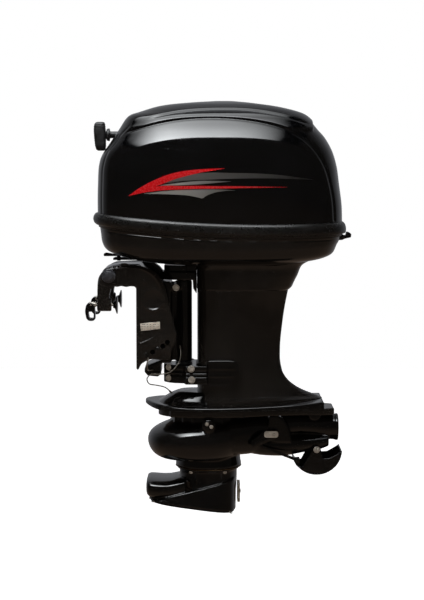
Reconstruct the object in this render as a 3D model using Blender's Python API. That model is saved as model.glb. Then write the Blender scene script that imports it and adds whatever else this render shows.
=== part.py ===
"""Jet-drive outboard motor, every sub-part as its own closed solid.

Frame: +X aft, +Y starboard, +Z up.  The origin is the transom seat on the centreline:
X = 0 is the face that lies on the transom, Z = 0 the underside of the clamp hooks.
All dimensions below are in millimetres; put() turns them into metres.
"""
import math

import bmesh
import bpy
from mathutils import Vector

# ---------------------------------------------------------------- driving dimensions
MM = 0.001
GAP = 0.3                      # clearance left between neighbouring pieces
TILT_X, TILT_Z = -67.6, 26.8   # tilt tube axis, along Y
STEER_X = 117.5                # steering (swivel) axis, along Z
DRIVE_X = 180.0                # crankshaft, driveshaft and impeller axis, along Z
PLATE_OUT, PLATE_IN = 105.0, 93.0      # clamp bracket side plate, outer and inner face
SCREW_Y, SCREW_Z = 88.0, -46.0         # clamp screw axes, along X
LOWER_BOLT = (26.3, -171.6)            # lower tie bolt, X and Z
TRIM_HOLES = [(41.0, -163.3), (54.5, -156.8), (66.5, -148.6), (78.0, -139.0)]
TRIM_USED = 1                          # the trim pin sits in this hole
ROPE_Z = 377.0                         # starter rope height
SHEAVE_R = 60.0
GUIDE_X = -52.0                        # rope guide in the sloping front of the cowl
JET_Z = -368.0                 # discharge nozzle axis, along X
GATE_X, GATE_Z = 454.5, -418.6         # reverse gate pivot, along Y
CRANK_X, CRANK_Z = 345.0, -376.0       # shift bell crank pivot, along Y
ARM = (-49.5, -24.4)                   # arm of gate and bell crank, pivot to pin
GATE_R = 65.0
LATCH_X, LATCH_Z = 519.5, 120.5
FRICTION_X = -48.0               # friction lever pivot, along Z
LOCK_X, LOCK_Z = 10.0, 36.0      # tilt lock lever pivot, along Y
COWL_COUNT = 26                # points round each cowl ring


# ---------------------------------------------------------------- materials
def material(name, colour, metallic, roughness):
    made = bpy.data.materials.new(name)
    made.use_nodes = True
    shader = made.node_tree.nodes["Principled BSDF"]
    shader.inputs["Base Color"].default_value = (*colour, 1.0)
    shader.inputs["Metallic"].default_value = metallic
    shader.inputs["Roughness"].default_value = roughness
    made.diffuse_color = (*colour, 1.0)
    return made


LOOK = {
    "gloss": ((0.012, 0.012, 0.013), 0.0, 0.12),
    "paint": ((0.030, 0.026, 0.023), 0.2, 0.30),
    "rubber": ((0.020, 0.020, 0.020), 0.0, 0.65),
    "steel": ((0.62, 0.60, 0.56), 1.0, 0.30),
    "bare": ((0.55, 0.56, 0.57), 1.0, 0.45),
    "iron": ((0.16, 0.16, 0.16), 0.9, 0.55),
    "zinc": ((0.50, 0.46, 0.38), 0.7, 0.60),
    "plastic": ((0.05, 0.05, 0.055), 0.0, 0.50),
    "white": ((0.80, 0.80, 0.77), 0.0, 0.40),
    "lead": ((0.10, 0.09, 0.08), 0.3, 0.50),
}


# ---------------------------------------------------------------- mesh building
def put(name, verts, faces, look):
    """One closed mesh object, its faces turned outwards."""
    mesh = bpy.data.meshes.new(name)
    mesh.from_pydata([tuple(c * MM for c in v) for v in verts], [], faces)
    bm = bmesh.new()
    bm.from_mesh(mesh)
    bmesh.ops.remove_doubles(bm, verts=bm.verts, dist=1e-6)
    bmesh.ops.recalc_face_normals(bm, faces=bm.faces)
    if bm.calc_volume(signed=True) < 0.0:
        bmesh.ops.reverse_faces(bm, faces=bm.faces)
    bm.to_mesh(mesh)
    bm.free()
    made = bpy.data.objects.new(name, mesh)
    bpy.context.scene.collection.objects.link(made)
    if look:
        made.data.materials.append(material(name, *LOOK[look]))
    return made


def loft(name, rings, look, loop=False):
    """Skin over rings of equal length; a ring of one point is a pole, loop joins last to first."""
    verts = []
    starts = []
    for ring in rings:
        starts.append(len(verts))
        verts.extend(ring)
    faces = []
    count = len(rings)
    for i in range(count if loop else count - 1):
        a, b = rings[i], rings[(i + 1) % count]
        sa, sb = starts[i], starts[(i + 1) % count]
        n = max(len(a), len(b))
        for k in range(n):
            m = (k + 1) % n
            if len(a) == 1:
                faces.append((sa, sb + m, sb + k))
            elif len(b) == 1:
                faces.append((sa + k, sa + m, sb))
            else:
                faces.append((sa + k, sa + m, sb + m, sb + k))
    if not loop:
        if len(rings[0]) > 2:
            faces.append(tuple(range(len(rings[0]))))
        if len(rings[-1]) > 2:
            faces.append(tuple(starts[-1] + k for k in range(len(rings[-1]))))
    return put(name, verts, faces, look)


def turned(name, profile, centre, axis, look, segments=24, loop=False, start=0.0):
    """Solid of revolution: profile of (radius, height) along the axis through centre."""
    rings = []
    for radius, height in profile:
        ring = []
        for k in range(1 if radius < 1e-9 else segments):
            angle = start + 2.0 * math.pi * k / segments
            p, q = radius * math.cos(angle), radius * math.sin(angle)
            offset = {"X": (height, p, q), "Y": (q, height, p), "Z": (p, q, height)}[axis]
            ring.append(tuple(centre[i] + offset[i] for i in range(3)))
        rings.append(ring)
    return loft(name, rings, look, loop=loop)


def rod(name, radius, lo, hi, centre, axis, look, segments=20):
    return turned(name, [(radius, lo), (radius, hi)], centre, axis, look, segments)


def tube(name, outer, inner, lo, hi, centre, axis, look, segments=24):
    profile = [(outer, lo), (outer, hi), (inner, hi), (inner, lo)]
    return turned(name, profile, centre, axis, look, segments, loop=True)


def prism(name, outline, plane, lo, hi, look):
    """Outline drawn in plane XZ, XY or YZ, pushed through from lo to hi along the third axis."""
    def place(p, depth):
        return {"XZ": (p[0], depth, p[1]), "XY": (p[0], p[1], depth), "YZ": (depth, p[0], p[1])}[plane]
    return loft(name, [[place(p, lo) for p in outline], [place(p, hi) for p in outline]], look)


def block(name, x0, x1, y0, y1, z0, z1, look):
    return prism(name, [(x0, y0), (x1, y0), (x1, y1), (x0, y1)], "XY", z0, z1, look)


def combine(target, others, operation):
    """Boolean of helper solids with target; the helpers are hidden afterwards."""
    for other in others:
        other.hide_render = True
        other.hide_viewport = False
        other.display_type = "WIRE"
        step = target.modifiers.new(operation.title(), "BOOLEAN")
        step.operation = operation
        step.solver = "EXACT"
        step.object = other
    return target


def cut(target, *others):
    return combine(target, others, "DIFFERENCE")


def add(target, *others):
    return combine(target, others, "UNION")


def mirrored(outline):
    return [(x, -y) for x, y in reversed(outline)]


def rounded(x0, x1, y0, y1, radius, steps=4):
    """Rectangle with rounded corners, as an outline."""
    points = []
    corners = [(x1 - radius, y1 - radius, 0), (x0 + radius, y1 - radius, 90),
               (x0 + radius, y0 + radius, 180), (x1 - radius, y0 + radius, 270)]
    for cx, cy, first in corners:
        for k in range(steps + 1):
            angle = math.radians(first + 90.0 * k / steps)
            points.append((cx + radius * math.cos(angle), cy + radius * math.sin(angle)))
    return points


def lead(name, points, radius, look, steps=2, resolution=2):
    """Cord along a smooth curve through the points."""
    dense = []
    count = len(points)
    for i in range(count - 1):
        p0, p1 = Vector(points[max(i - 1, 0)]), Vector(points[i])
        p2, p3 = Vector(points[i + 1]), Vector(points[min(i + 2, count - 1)])
        for k in range(steps):
            t = k / steps
            dense.append(0.5 * (2.0 * p1 + (p2 - p0) * t + (2.0 * p0 - 5.0 * p1 + 4.0 * p2 - p3) * t ** 2
                                + (3.0 * p1 - p0 - 3.0 * p2 + p3) * t ** 3))
    dense.append(Vector(points[-1]))
    data = bpy.data.curves.new(name, "CURVE")
    data.dimensions = "3D"
    data.bevel_depth = radius * MM
    data.bevel_resolution = resolution
    data.resolution_u = 1
    data.render_resolution_u = 0
    data.use_fill_caps = True
    spline = data.splines.new("POLY")
    spline.points.add(len(dense) - 1)
    for point, place in zip(spline.points, dense):
        point.co = (*(place * MM), 1.0)
    made = bpy.data.objects.new(name, data)
    bpy.context.scene.collection.objects.link(made)
    data.materials.append(material(name, *LOOK[look]))


# ---------------------------------------------------------------- cowl surfaces
def seal_top(x):
    """Parting line of the cowls: falls aft and sags a little amidships."""
    return 179.0 - 0.036 * x - 13.0 * math.sin(math.pi * (x + 110.0) / 634.0)


def oval(front, rear, width, square, count):
    """Plan outline between front and rear X; each point with its own end weight."""
    middle = 0.5 * (front + rear)
    half = 0.5 * (rear - front)
    points = []
    for k in range(count):
        angle = 2.0 * math.pi * k / count
        c, s = math.cos(angle), math.sin(angle)
        size = (abs(c) ** square + abs(s) ** square) ** (-1.0 / square)
        points.append((middle + half * c * size, width * s * size, c * size))
    return points


def cowl_ring(front, front_z, width, side_z, rear, rear_z, square, count=COWL_COUNT):
    ring = []
    for x, y, end in oval(front, rear, width, square, count):
        end_z = rear_z if end > 0.0 else front_z
        ring.append((x, y, side_z + (end_z - side_z) * abs(end) ** 4))
    return ring


def edge_ring(front, rear, width, square, rise, count=COWL_COUNT):
    """A ring that keeps a fixed height above or below the parting line."""
    return [(x, y, seal_top(x) + rise) for x, y, _ in oval(front, rear, width, square, count)]


UPPER = [  # front X and Z, half-width and its Z, rear X and Z, squareness
    (-99.0, 215.0, 174.0, 205.0, 515.5, 200.0, 3.2),
    (-98.0, 253.0, 175.5, 252.0, 509.0, 250.0, 3.2),
    (-95.0, 300.0, 173.0, 305.0, 501.0, 303.0, 3.2),
    (-87.0, 326.0, 165.0, 350.0, 489.0, 340.0, 3.1),
    (-66.0, 358.0, 151.0, 382.0, 471.0, 371.0, 3.0),
    (-44.0, 391.0, 138.0, 402.0, 455.0, 389.0, 3.0),
    (-24.0, 420.0, 125.0, 418.0, 440.0, 407.0, 3.0),
    (6.0, 432.0, 104.0, 432.0, 425.0, 420.0, 2.9),
    (57.0, 446.0, 74.0, 446.0, 386.0, 434.0, 2.8),
    (133.0, 455.0, 38.0, 455.0, 310.0, 450.0, 2.6),
]
LOWER = [
    (-88.0, 131.0, 168.0, 112.0, 506.0, 113.0, 3.2),
    (-85.0, 110.0, 166.0, 92.0, 501.0, 104.0, 3.2),
    (-76.0, 93.0, 158.0, 75.0, 492.0, 84.0, 3.1),
    (-58.0, 84.0, 142.0, 64.0, 476.0, 74.0, 3.0),
    (-32.0, 80.0, 116.0, 58.0, 440.0, 65.0, 2.9),
    (31.0, 70.0, 92.0, 54.5, 418.0, 59.5, 2.8),
    (120.0, 56.5, 66.0, 52.0, 404.0, 57.0, 2.8),
]


def shrink(row, side, down):
    front, front_z, width, side_z, rear, rear_z, square = row
    return (front + side, front_z - down, width - side, side_z - down, rear - side, rear_z - down, square)


def build_cowls():
    outer = [edge_ring(-99.0, 517.0, 171.0, 3.2, GAP)] + [cowl_ring(*row) for row in UPPER]
    outer.append([(221.0, 0.0, 459.0)])
    inner = [edge_ring(-95.0, 513.0, 167.0, 3.2, GAP)]
    for index, row in enumerate(UPPER):
        if index in (0, 2, 3, 5, 7, 8):
            inner.append(cowl_ring(*shrink(row, 4.5 if index < 7 else 1.0, 0.7 * min(index, 7))))
    inner.append([(221.0, 0.0, 454.5)])
    upper = loft("upper_cowl", outer + inner[::-1], "gloss", loop=True)
    cut(upper, rod("cut_rope_hole", 9.0, -40.0, 25.0, (GUIDE_X - 8.0, 0.0, ROPE_Z), "X", None))

    seal_rings = []
    for front, rear, width, rise in [(-105.0, 521.0, 174.0, 0.0), (-109.5, 525.5, 178.0, -4.0),
                                     (-109.5, 527.0, 179.0, -18.0), (-105.0, 526.0, 177.5, -30.0),
                                     (-92.0, 515.0, 171.0, -35.0), (-84.0, 503.0, 159.0, -35.0),
                                     (-84.0, 503.0, 159.0, 0.0)]:
        seal_rings.append(edge_ring(front, rear, width, 3.2, rise))
    loft("cowl_seal", seal_rings, "rubber", loop=True)

    outer = [edge_ring(-90.0, 510.0, 169.0, 3.2, -35.0 - GAP)] + [cowl_ring(*row) for row in LOWER]
    inner = [edge_ring(-85.0, 504.0, 164.0, 3.2, -35.0 - GAP)]
    for index, row in enumerate(LOWER):
        if index != 1:
            inner.append(cowl_ring(*shrink(row, 4.5 if index < 4 else 1.5, -0.9 * min(index + 1, 5))))
    lower = loft("lower_cowl", outer + inner[::-1], "gloss", loop=True)
    for side, tag in ((-1.0, "port"), (1.0, "starboard")):
        lo, hi = sorted((side * 17.5, side * 26.0))
        lug = [(502.0, 112.0), (518.0, 112.0), (525.5, 118.0), (525.5, 123.0), (502.0, 123.0)]
        add(lower, prism("add_latch_lug_" + tag, lug, "XZ", lo, hi, None))
    cut(lower, rod("cut_latch", 3.3, -40.0, 40.0, (LATCH_X, 0.0, LATCH_Z), "Y", None, 12))


def build_rope_and_latch():
    guide = [(8.6, 16.0), (8.6, -9.0), (14.0, -9.0), (12.5, -16.0), (3.0, -16.0), (3.0, 0.0), (6.4, 8.0),
             (6.4, 16.0)]
    turned("rope_guide", guide, (GUIDE_X - 10.0, 0.0, ROPE_Z), "X", "plastic", 16, loop=True)
    grip = []
    for z, x0, x1, half in [(409.5, -100.0, -86.0, 8.0), (406.5, -107.0, -81.0, 14.0),
                            (395.0, -109.0, -80.0, 17.0), (372.0, -107.5, -79.0, 18.0),
                            (347.0, -105.5, -78.5, 17.0), (339.0, -103.5, -79.5, 14.0),
                            (336.5, -98.0, -84.0, 8.0)]:
        grip.append([(x, y, z) for x, y in rounded(x0, x1, -half, half, 6.5 if half > 9 else 4.0, 2)])
    made = loft("starter_grip", grip, "rubber")
    cut(made, rod("cut_grip_bore", 2.6, -24.0, 1.0, (-78.0, 0.0, ROPE_Z), "X", None, 12))
    lead("rope_tail", [(-101.0, 0.0, ROPE_Z), (-90.0, 0.0, ROPE_Z), (-70.0, 0.0, ROPE_Z),
                       (-60.0, 0.0, ROPE_Z)], 2.2, "lead")
    lead("starter_rope", [(-59.0, 0.0, ROPE_Z), (-46.0, 2.2, ROPE_Z), (-20.0, 10.0, ROPE_Z), (20.0, 21.5, ROPE_Z),
                          (90.0, 41.5, ROPE_Z), (DRIVE_X - 16.0, 62.5, ROPE_Z)], 2.2, "lead")
    lever = [(512.5, 117.0), (518.0, 113.0), (541.0, 118.5), (541.5, 127.0), (535.5, 132.0), (530.0, 132.0),
             (529.0, 124.5), (522.0, 123.6), (514.0, 122.0)]
    made = prism("cowl_latch_lever", lever, "XZ", -17.0, 17.0, "paint")
    add(made, rod("add_latch_pin", 3.0, -24.0, 24.0, (LATCH_X, 0.0, LATCH_Z), "Y", None, 12))


# ---------------------------------------------------------------- transom bracket
def build_clamp_bracket(side, name):
    def span(a, b):
        return (min(side * a, side * b), max(side * a, side * b))
    top = [(-96.0, -34.0), (-96.0, -6.0), (-91.8, 24.6), (-80.3, 39.8), (-62.6, 50.0), (-37.3, 52.5)]
    arch = top + [(9.0, 51.8), (9.0, 0.0), (-58.0, 0.0), (-64.0, -7.0), (-66.8, -34.0), (-68.0, -60.0),
                  (-97.0, -60.0)]
    plate = top + [(15.5, 50.5), (34.0, 42.0), (51.1, 32.1), (62.0, 19.0), (68.9, 6.7), (76.0, -18.0),
                   (83.9, -49.1), (101.4, -120.5), (101.0, -130.0), (96.4, -140.8), (90.0, -154.0),
                   (88.0, -163.3), (86.1, -181.9), (68.4, -184.4), (37.8, -181.0), (24.5, -186.0),
                   (12.0, -194.0), (5.5, -208.0), (0.0, -208.0), (0.0, 0.0), (-58.0, 0.0), (-64.0, -7.0),
                   (-66.8, -34.0), (-68.0, -60.0), (-97.0, -60.0)]
    made = prism(name, plate, "XZ", *span(PLATE_IN, PLATE_OUT), "paint")
    inner = [(x + (0.0 if abs(z) < 0.01 else (0.2 if x < -80 else -0.2)), z) for x, z in arch]
    helper = prism("add_arch_" + name, inner, "XZ", *span(71.0, PLATE_OUT - 0.5), None)
    flange = prism("add_face_" + name, [(0.0, -206.0), (8.0, -200.0), (8.0, 4.0), (0.0, 4.0)],
                   "XZ", *span(60.0, PLATE_OUT - 0.5), None)
    boss = turned("add_boss_" + name, [(16.0, -97.0), (16.0, -62.0)], (0.0, side * SCREW_Y, SCREW_Z),
                  "X", None, 16)
    add(made, helper, flange, boss)
    holes = TRIM_HOLES + [LOWER_BOLT]
    for index, (x, z) in enumerate(holes):
        cut(made, rod("cut_%d_%s" % (index, name), 4.4 if index < 4 else 5.4, -120.0, 120.0,
                      (x, 0.0, z), "Y", None, 10))
    cut(made, rod("cut_tilt_" + name, 11.5, -130.0, 130.0, (TILT_X, 0.0, TILT_Z), "Y", None, 18),
        rod("cut_screw_" + name, 5.4, -120.0, -40.0, (0.0, side * SCREW_Y, SCREW_Z), "X", None, 12))


def build_clamp_screw(side, tag):
    y = side * SCREW_Y
    centre = (0.0, y, SCREW_Z)
    screw = [(0.0, -118.0), (7.0, -118.0), (7.0, -102.0), (5.0, -101.0), (5.0, -62.0), (4.0, -61.0),
             (4.0, -52.0), (0.0, -52.0)]
    made = turned(tag + "_clamp_screw", screw, centre, "X", "steel", 14)
    add(made, rod("add_pin_" + tag, 2.4, -12.8, 12.8, (-112.0, y, SCREW_Z), "Y", None, 12))
    pad = [(0.0, -51.0), (4.4, -51.0), (4.4, -57.5), (8.0, -57.5), (9.5, -53.0), (21.0, -49.0), (21.0, -46.5),
           (0.0, -46.5)]
    turned(tag + "_clamp_pad", pad, centre, "X", "bare", 18)
    outer = [(-117.5, -40.0), (-109.0, -41.0), (-104.0, -46.0), (-101.5, -70.0), (-102.0, -82.0), (-107.0, -86.0),
             (-118.0, -86.0), (-124.0, -80.0), (-127.5, -62.0), (-124.5, -46.0)]
    handle = prism(tag + "_clamp_handle", outer, "XZ", y - 13.0, y + 13.0, "paint")
    slot = [(-121.5, -20.0), (-99.0, -20.0), (-99.0, -58.5), (-121.5, -58.5)]
    cut(handle, prism("cut_slot_" + tag, slot, "XZ", y - 8.6, y + 8.6, None),
        prism("cut_loop_" + tag, [(-119.0, -63.0), (-105.0, -63.0), (-106.0, -79.0), (-117.0, -79.0)],
              "XZ", y - 20.0, y + 20.0, None),
        rod("cut_eye_" + tag, 2.7, -30.0, 30.0, (-112.0, y, SCREW_Z), "Y", None, 12))


def build_transom_bracket():
    build_clamp_bracket(-1.0, "port_clamp_bracket")
    build_clamp_bracket(1.0, "starboard_clamp_bracket")
    tube("tilt_tube", 11.0, 7.0, -117.0, 117.0, (TILT_X, 0.0, TILT_Z), "Y", "bare", 18)
    for side, tag in ((-1.0, "port"), (1.0, "starboard")):
        lo, hi = sorted((side * 105.4, side * 114.0))
        nut = rod(tag + "_tilt_nut", 17.5, lo, hi, (TILT_X, 0.0, TILT_Z), "Y", "steel", 6)
        cut(nut, rod("cut_nut_" + tag, 11.5, -130.0, 130.0, (TILT_X, 0.0, TILT_Z), "Y", None, 18))
        build_clamp_screw(side, tag)
    x, z = LOWER_BOLT
    bolt = [(0.0, -113.0), (8.5, -113.0), (8.5, -105.4), (5.0, -105.4), (5.0, 105.4), (8.5, 105.4),
            (8.5, 113.0), (0.0, 113.0)]
    turned("lower_tie_bolt", bolt, (x, 0.0, z), "Y", "steel", 18)
    x, z = TRIM_HOLES[TRIM_USED]
    pin = [(0.0, -116.0), (7.5, -116.0), (7.5, -105.6), (4.0, -105.6), (4.0, 110.0), (2.5, 113.0), (0.0, 113.0)]
    turned("trim_pin", pin, (x, 0.0, z), "Y", "steel", 16)


# ---------------------------------------------------------------- swivel bracket
def build_swivel():
    web = [(-80.0, 41.0), (-62.0, 50.0), (-40.0, 53.0), (6.0, 53.0), (28.0, 34.0), (44.0, 10.0), (86.0, 9.0),
           (86.0, -196.5), (64.0, -197.5), (64.0, -226.0), (54.0, -232.0), (26.0, -229.0),
           (18.0, -219.0), (20.0, -206.0), (44.0, -196.0), (66.0, -188.0), (66.0, -140.0), (48.0, -70.0),
           (22.0, -20.0), (12.0, 4.0), (-66.0, 4.0), (-86.0, 18.0)]
    made = prism("swivel_bracket", web, "XZ", -57.0, 57.0, "paint")
    hub = rod("add_hub", 20.0, -70.4, 70.4, (TILT_X, 0.0, TILT_Z), "Y", None, 22)
    column = rod("add_column", 20.8, -199.0, 9.5, (STEER_X, 0.0, 0.0), "Z", None, 24)
    add(made, hub, column, block("add_rib", 80.0, 108.0, -15.0, 15.0, -195.0, 6.0, None))
    cut(made, rod("cut_tilt", 11.5, -130.0, 130.0, (TILT_X, 0.0, TILT_Z), "Y", None, 18),
        rod("cut_king", 17.5, -260.0, 60.0, (STEER_X, 0.0, 0.0), "Z", None, 20),
        rod("cut_lock", 2.8, -70.0, -40.0, (LOCK_X, 0.0, LOCK_Z), "Y", None, 12),
        prism("cut_hollow", [(-24.0, 14.0), (-4.0, 40.0), (4.0, 40.0), (30.0, 2.0), (76.0, -4.0), (76.0, -180.0),
                             (70.0, -180.0), (60.0, -70.0), (32.0, -14.0), (16.0, 14.0)],
              "XZ", -49.0, 80.0, None))
    profile = [(15.3, -168.0), (17.0, -168.0), (17.0, -199.3), (22.0, -199.3), (22.0, -202.0), (15.3, -202.0)]
    turned("swivel_bush", profile, (STEER_X, 0.0, 0.0), "Z", "plastic", 20, loop=True)
    lever = [(LOCK_X + 6.0, LOCK_Z - 6.0), (LOCK_X + 6.0, LOCK_Z + 6.0), (-28.0, 56.0), (-40.0, 55.0),
             (-41.0, 49.0), (-30.0, 47.0), (LOCK_X - 8.0, LOCK_Z - 7.0)]
    made = prism("tilt_lock_lever", lever, "XZ", -62.5, -57.6, "steel")
    add(made, rod("add_lock_pin", 2.5, -60.0, -50.5, (LOCK_X, 0.0, LOCK_Z), "Y", None, 12))


# ---------------------------------------------------------------- steering and mounts
def build_steering():
    shaft = [(12.0, -246.0), (15.0, -246.0), (15.0, 46.0), (12.0, 46.0)]
    turned("steering_shaft", shaft, (STEER_X, 0.0, 0.0), "Z", "bare", 20, loop=True)
    yoke = [(62.0, -34.0), (80.0, -52.0), (118.0, -62.0), (147.0, -62.0), (147.0, 62.0), (118.0, 62.0),
            (80.0, 52.0), (62.0, 34.0)]
    made = prism("steering_arm", yoke, "XY", 13.0, 34.0, "paint")
    arm = [(66.0, 15.0), (66.0, 33.0), (56.0, 45.0), (22.0, 68.5), (-56.0, 68.5), (-62.0, 66.0), (-62.0, 61.0),
           (16.0, 61.0), (46.0, 36.0), (50.0, 15.0)]
    mount = [(68.0, -28.0), (80.0, -46.0), (112.0, -56.0), (125.0, -56.0), (125.0, 56.0), (112.0, 56.0),
             (80.0, 46.0), (68.0, 28.0)]
    add(made, prism("add_arm", arm, "XZ", -17.0, 17.0, None),
        prism("add_upper_mount", mount, "XY", 33.0, 50.0, None))
    cut(made, rod("cut_yoke", 15.3, 0.0, 60.0, (STEER_X, 0.0, 0.0), "Z", None, 20),
        rod("cut_eye", 5.3, 40.0, 80.0, (FRICTION_X, 0.0, 0.0), "Z", None, 12))
    lever = [(-86.0, 71.0), (-83.0, 70.0), (-40.0, 70.5), (-40.0, 74.5), (-62.0, 76.5), (-80.0, 79.5),
             (-86.0, 77.0)]
    made = prism("friction_lever", lever, "XZ", -8.0, 8.0, "paint")
    add(made, rod("add_stud", 4.9, 58.5, 73.0, (FRICTION_X, 0.0, 0.0), "Z", None, 12))
    half = [(66.0, 12.0), (70.0, 22.0), (80.0, 36.0), (94.0, 46.5), (118.0, 52.0), (122.0, 75.0), (178.0, 75.0),
            (178.0, 67.0), (149.5, 60.0)]
    yoke = prism("lower_mount_yoke", half + mirrored(half), "XY", -250.0, -203.0, "paint")
    cut(yoke, rod("cut_pilot", 15.4, -260.0, -190.0, (STEER_X, 0.0, 0.0), "Z", None, 20))
    for side, tag in ((-1.0, "port"), (1.0, "starboard")):
        cover = [(178.4, -249.0), (178.4, -190.0), (180.0, -188.0), (236.0, -187.5), (250.0, -190.0),
                 (256.5, -200.0), (258.0, -222.0), (254.0, -242.0), (240.0, -253.0), (180.0, -253.0)]
        lo, hi = sorted((side * 67.5, side * 77.0))
        prism(tag + "_mount_cover", cover, "XZ", lo, hi, "paint")


# ---------------------------------------------------------------- casings
def teardrop(front, rear, width, tail, count=26):
    """Plan section of the driveshaft housing: round nose, straight sides, narrow tail."""
    points = []
    nose = front + width * 0.95
    for k in range(count):
        angle = 2.0 * math.pi * k / count
        c, s = math.cos(angle), math.sin(angle)
        size = (abs(c) ** 2.6 + abs(s) ** 2.6) ** (-1.0 / 2.6)
        c, s = c * size, s * size
        if c < 0.0:
            points.append((nose + (nose - front) * c, width * s))
        else:
            points.append((nose + (rear - nose) * c, s * (width + (tail - width) * c ** 1.6)))
    return points


def housing_rings(extra):
    """Outer sections of the driveshaft housing from the top down, grown by extra all round."""
    rings = []
    for z, rear, width, tail in [(-14.0, 383.0, 63.0, 30.0), (-55.0, 375.0, 62.0, 22.0),
                                 (-107.0, 367.7, 62.0, 20.0), (-165.0, 362.8, 63.0, 20.0),
                                 (-205.0, 364.5, 65.0, 22.0),
                                 (-230.0, 372.0, 66.0, 24.0), (-252.0, 390.0, 66.0, 26.0),
                                 (-270.0, 418.0, 66.0, 30.0), (-285.0, 456.0, 68.0, 36.0),
                                 (-291.5, 470.5, 78.0, 44.0), (-306.0 - 6.0 * extra, 471.0, 78.0, 44.0)]:
        section = teardrop(151.5 - extra, rear + extra, width + 1.5 * extra, tail + extra)
        rings.append([(x, y, z + extra) for x, y in section])
    return rings


def build_casings():
    rings = []
    for z, front, rear, width, square in [(50.5, 128.0, 434.0, 80.0, 3.0), (42.0, 147.0, 417.0, 76.0, 3.2),
                                          (22.0, 150.5, 405.0, 75.0, 3.4), (-6.0, 150.5, 391.0, 74.0, 3.4),
                                          (-13.5, 150.5, 382.0, 72.0, 3.4)]:
        rings.append([(x, y, z) for x, y, _ in oval(front, rear, width, square, 28)])
    inner = []
    for z in (-13.5, 50.5):
        inner.append([(x, y, z) for x, y, _ in oval(160.0, 360.0, 52.0, 3.4, 28)])
    loft("apron", rings + inner, "paint", loop=True)

    rings = housing_rings(0.0)
    inner = []
    for z, rear in [(-306.0, 352.0), (-160.0, 346.0), (-14.0, 352.0)]:
        inner.append([(x, y, z) for x, y in teardrop(160.5, rear, 50.0, 13.0)])
    loft("driveshaft_housing", rings + inner, "paint", loop=True)

    outline = [(19.0, 0.0), (21.0, 20.0), (30.0, 42.0), (52.0, 78.0), (84.0, 104.0), (130.0, 117.0),
               (200.0, 120.0), (330.0, 112.0), (440.0, 96.0), (471.0, 84.0)]
    outline = outline + mirrored(outline)[:-1]
    top = [(x, y, -304.4 + 6.0e-4 * (x - 170.0) ** 2 * (0.75 if x < 170.0 else 0.23)) for x, y in outline]
    plate = loft("adapter_plate", [[(x, y, -313.0) for x, y in outline], top], "paint")
    hump = loft("add_hump", [[(x, y, z) for x, y, _ in oval(a, b, w, 2.6, 20)]
                             for a, b, w, z in [(40.0, 200.0, 92.0, -307.0), (58.0, 200.0, 74.0, -296.0),
                                                (86.0, 200.0, 58.0, -277.0), (100.0, 196.0, 52.0, -273.0)]], None)
    add(plate, hump)
    cut(plate, loft("cut_nose", housing_rings(0.5), None))
    cut(plate, prism("cut_plate", [(x, y) for x, y in teardrop(160.5, 352.0, 50.0, 13.0)], "XY",
                     -330.0, -260.0, None))


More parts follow.
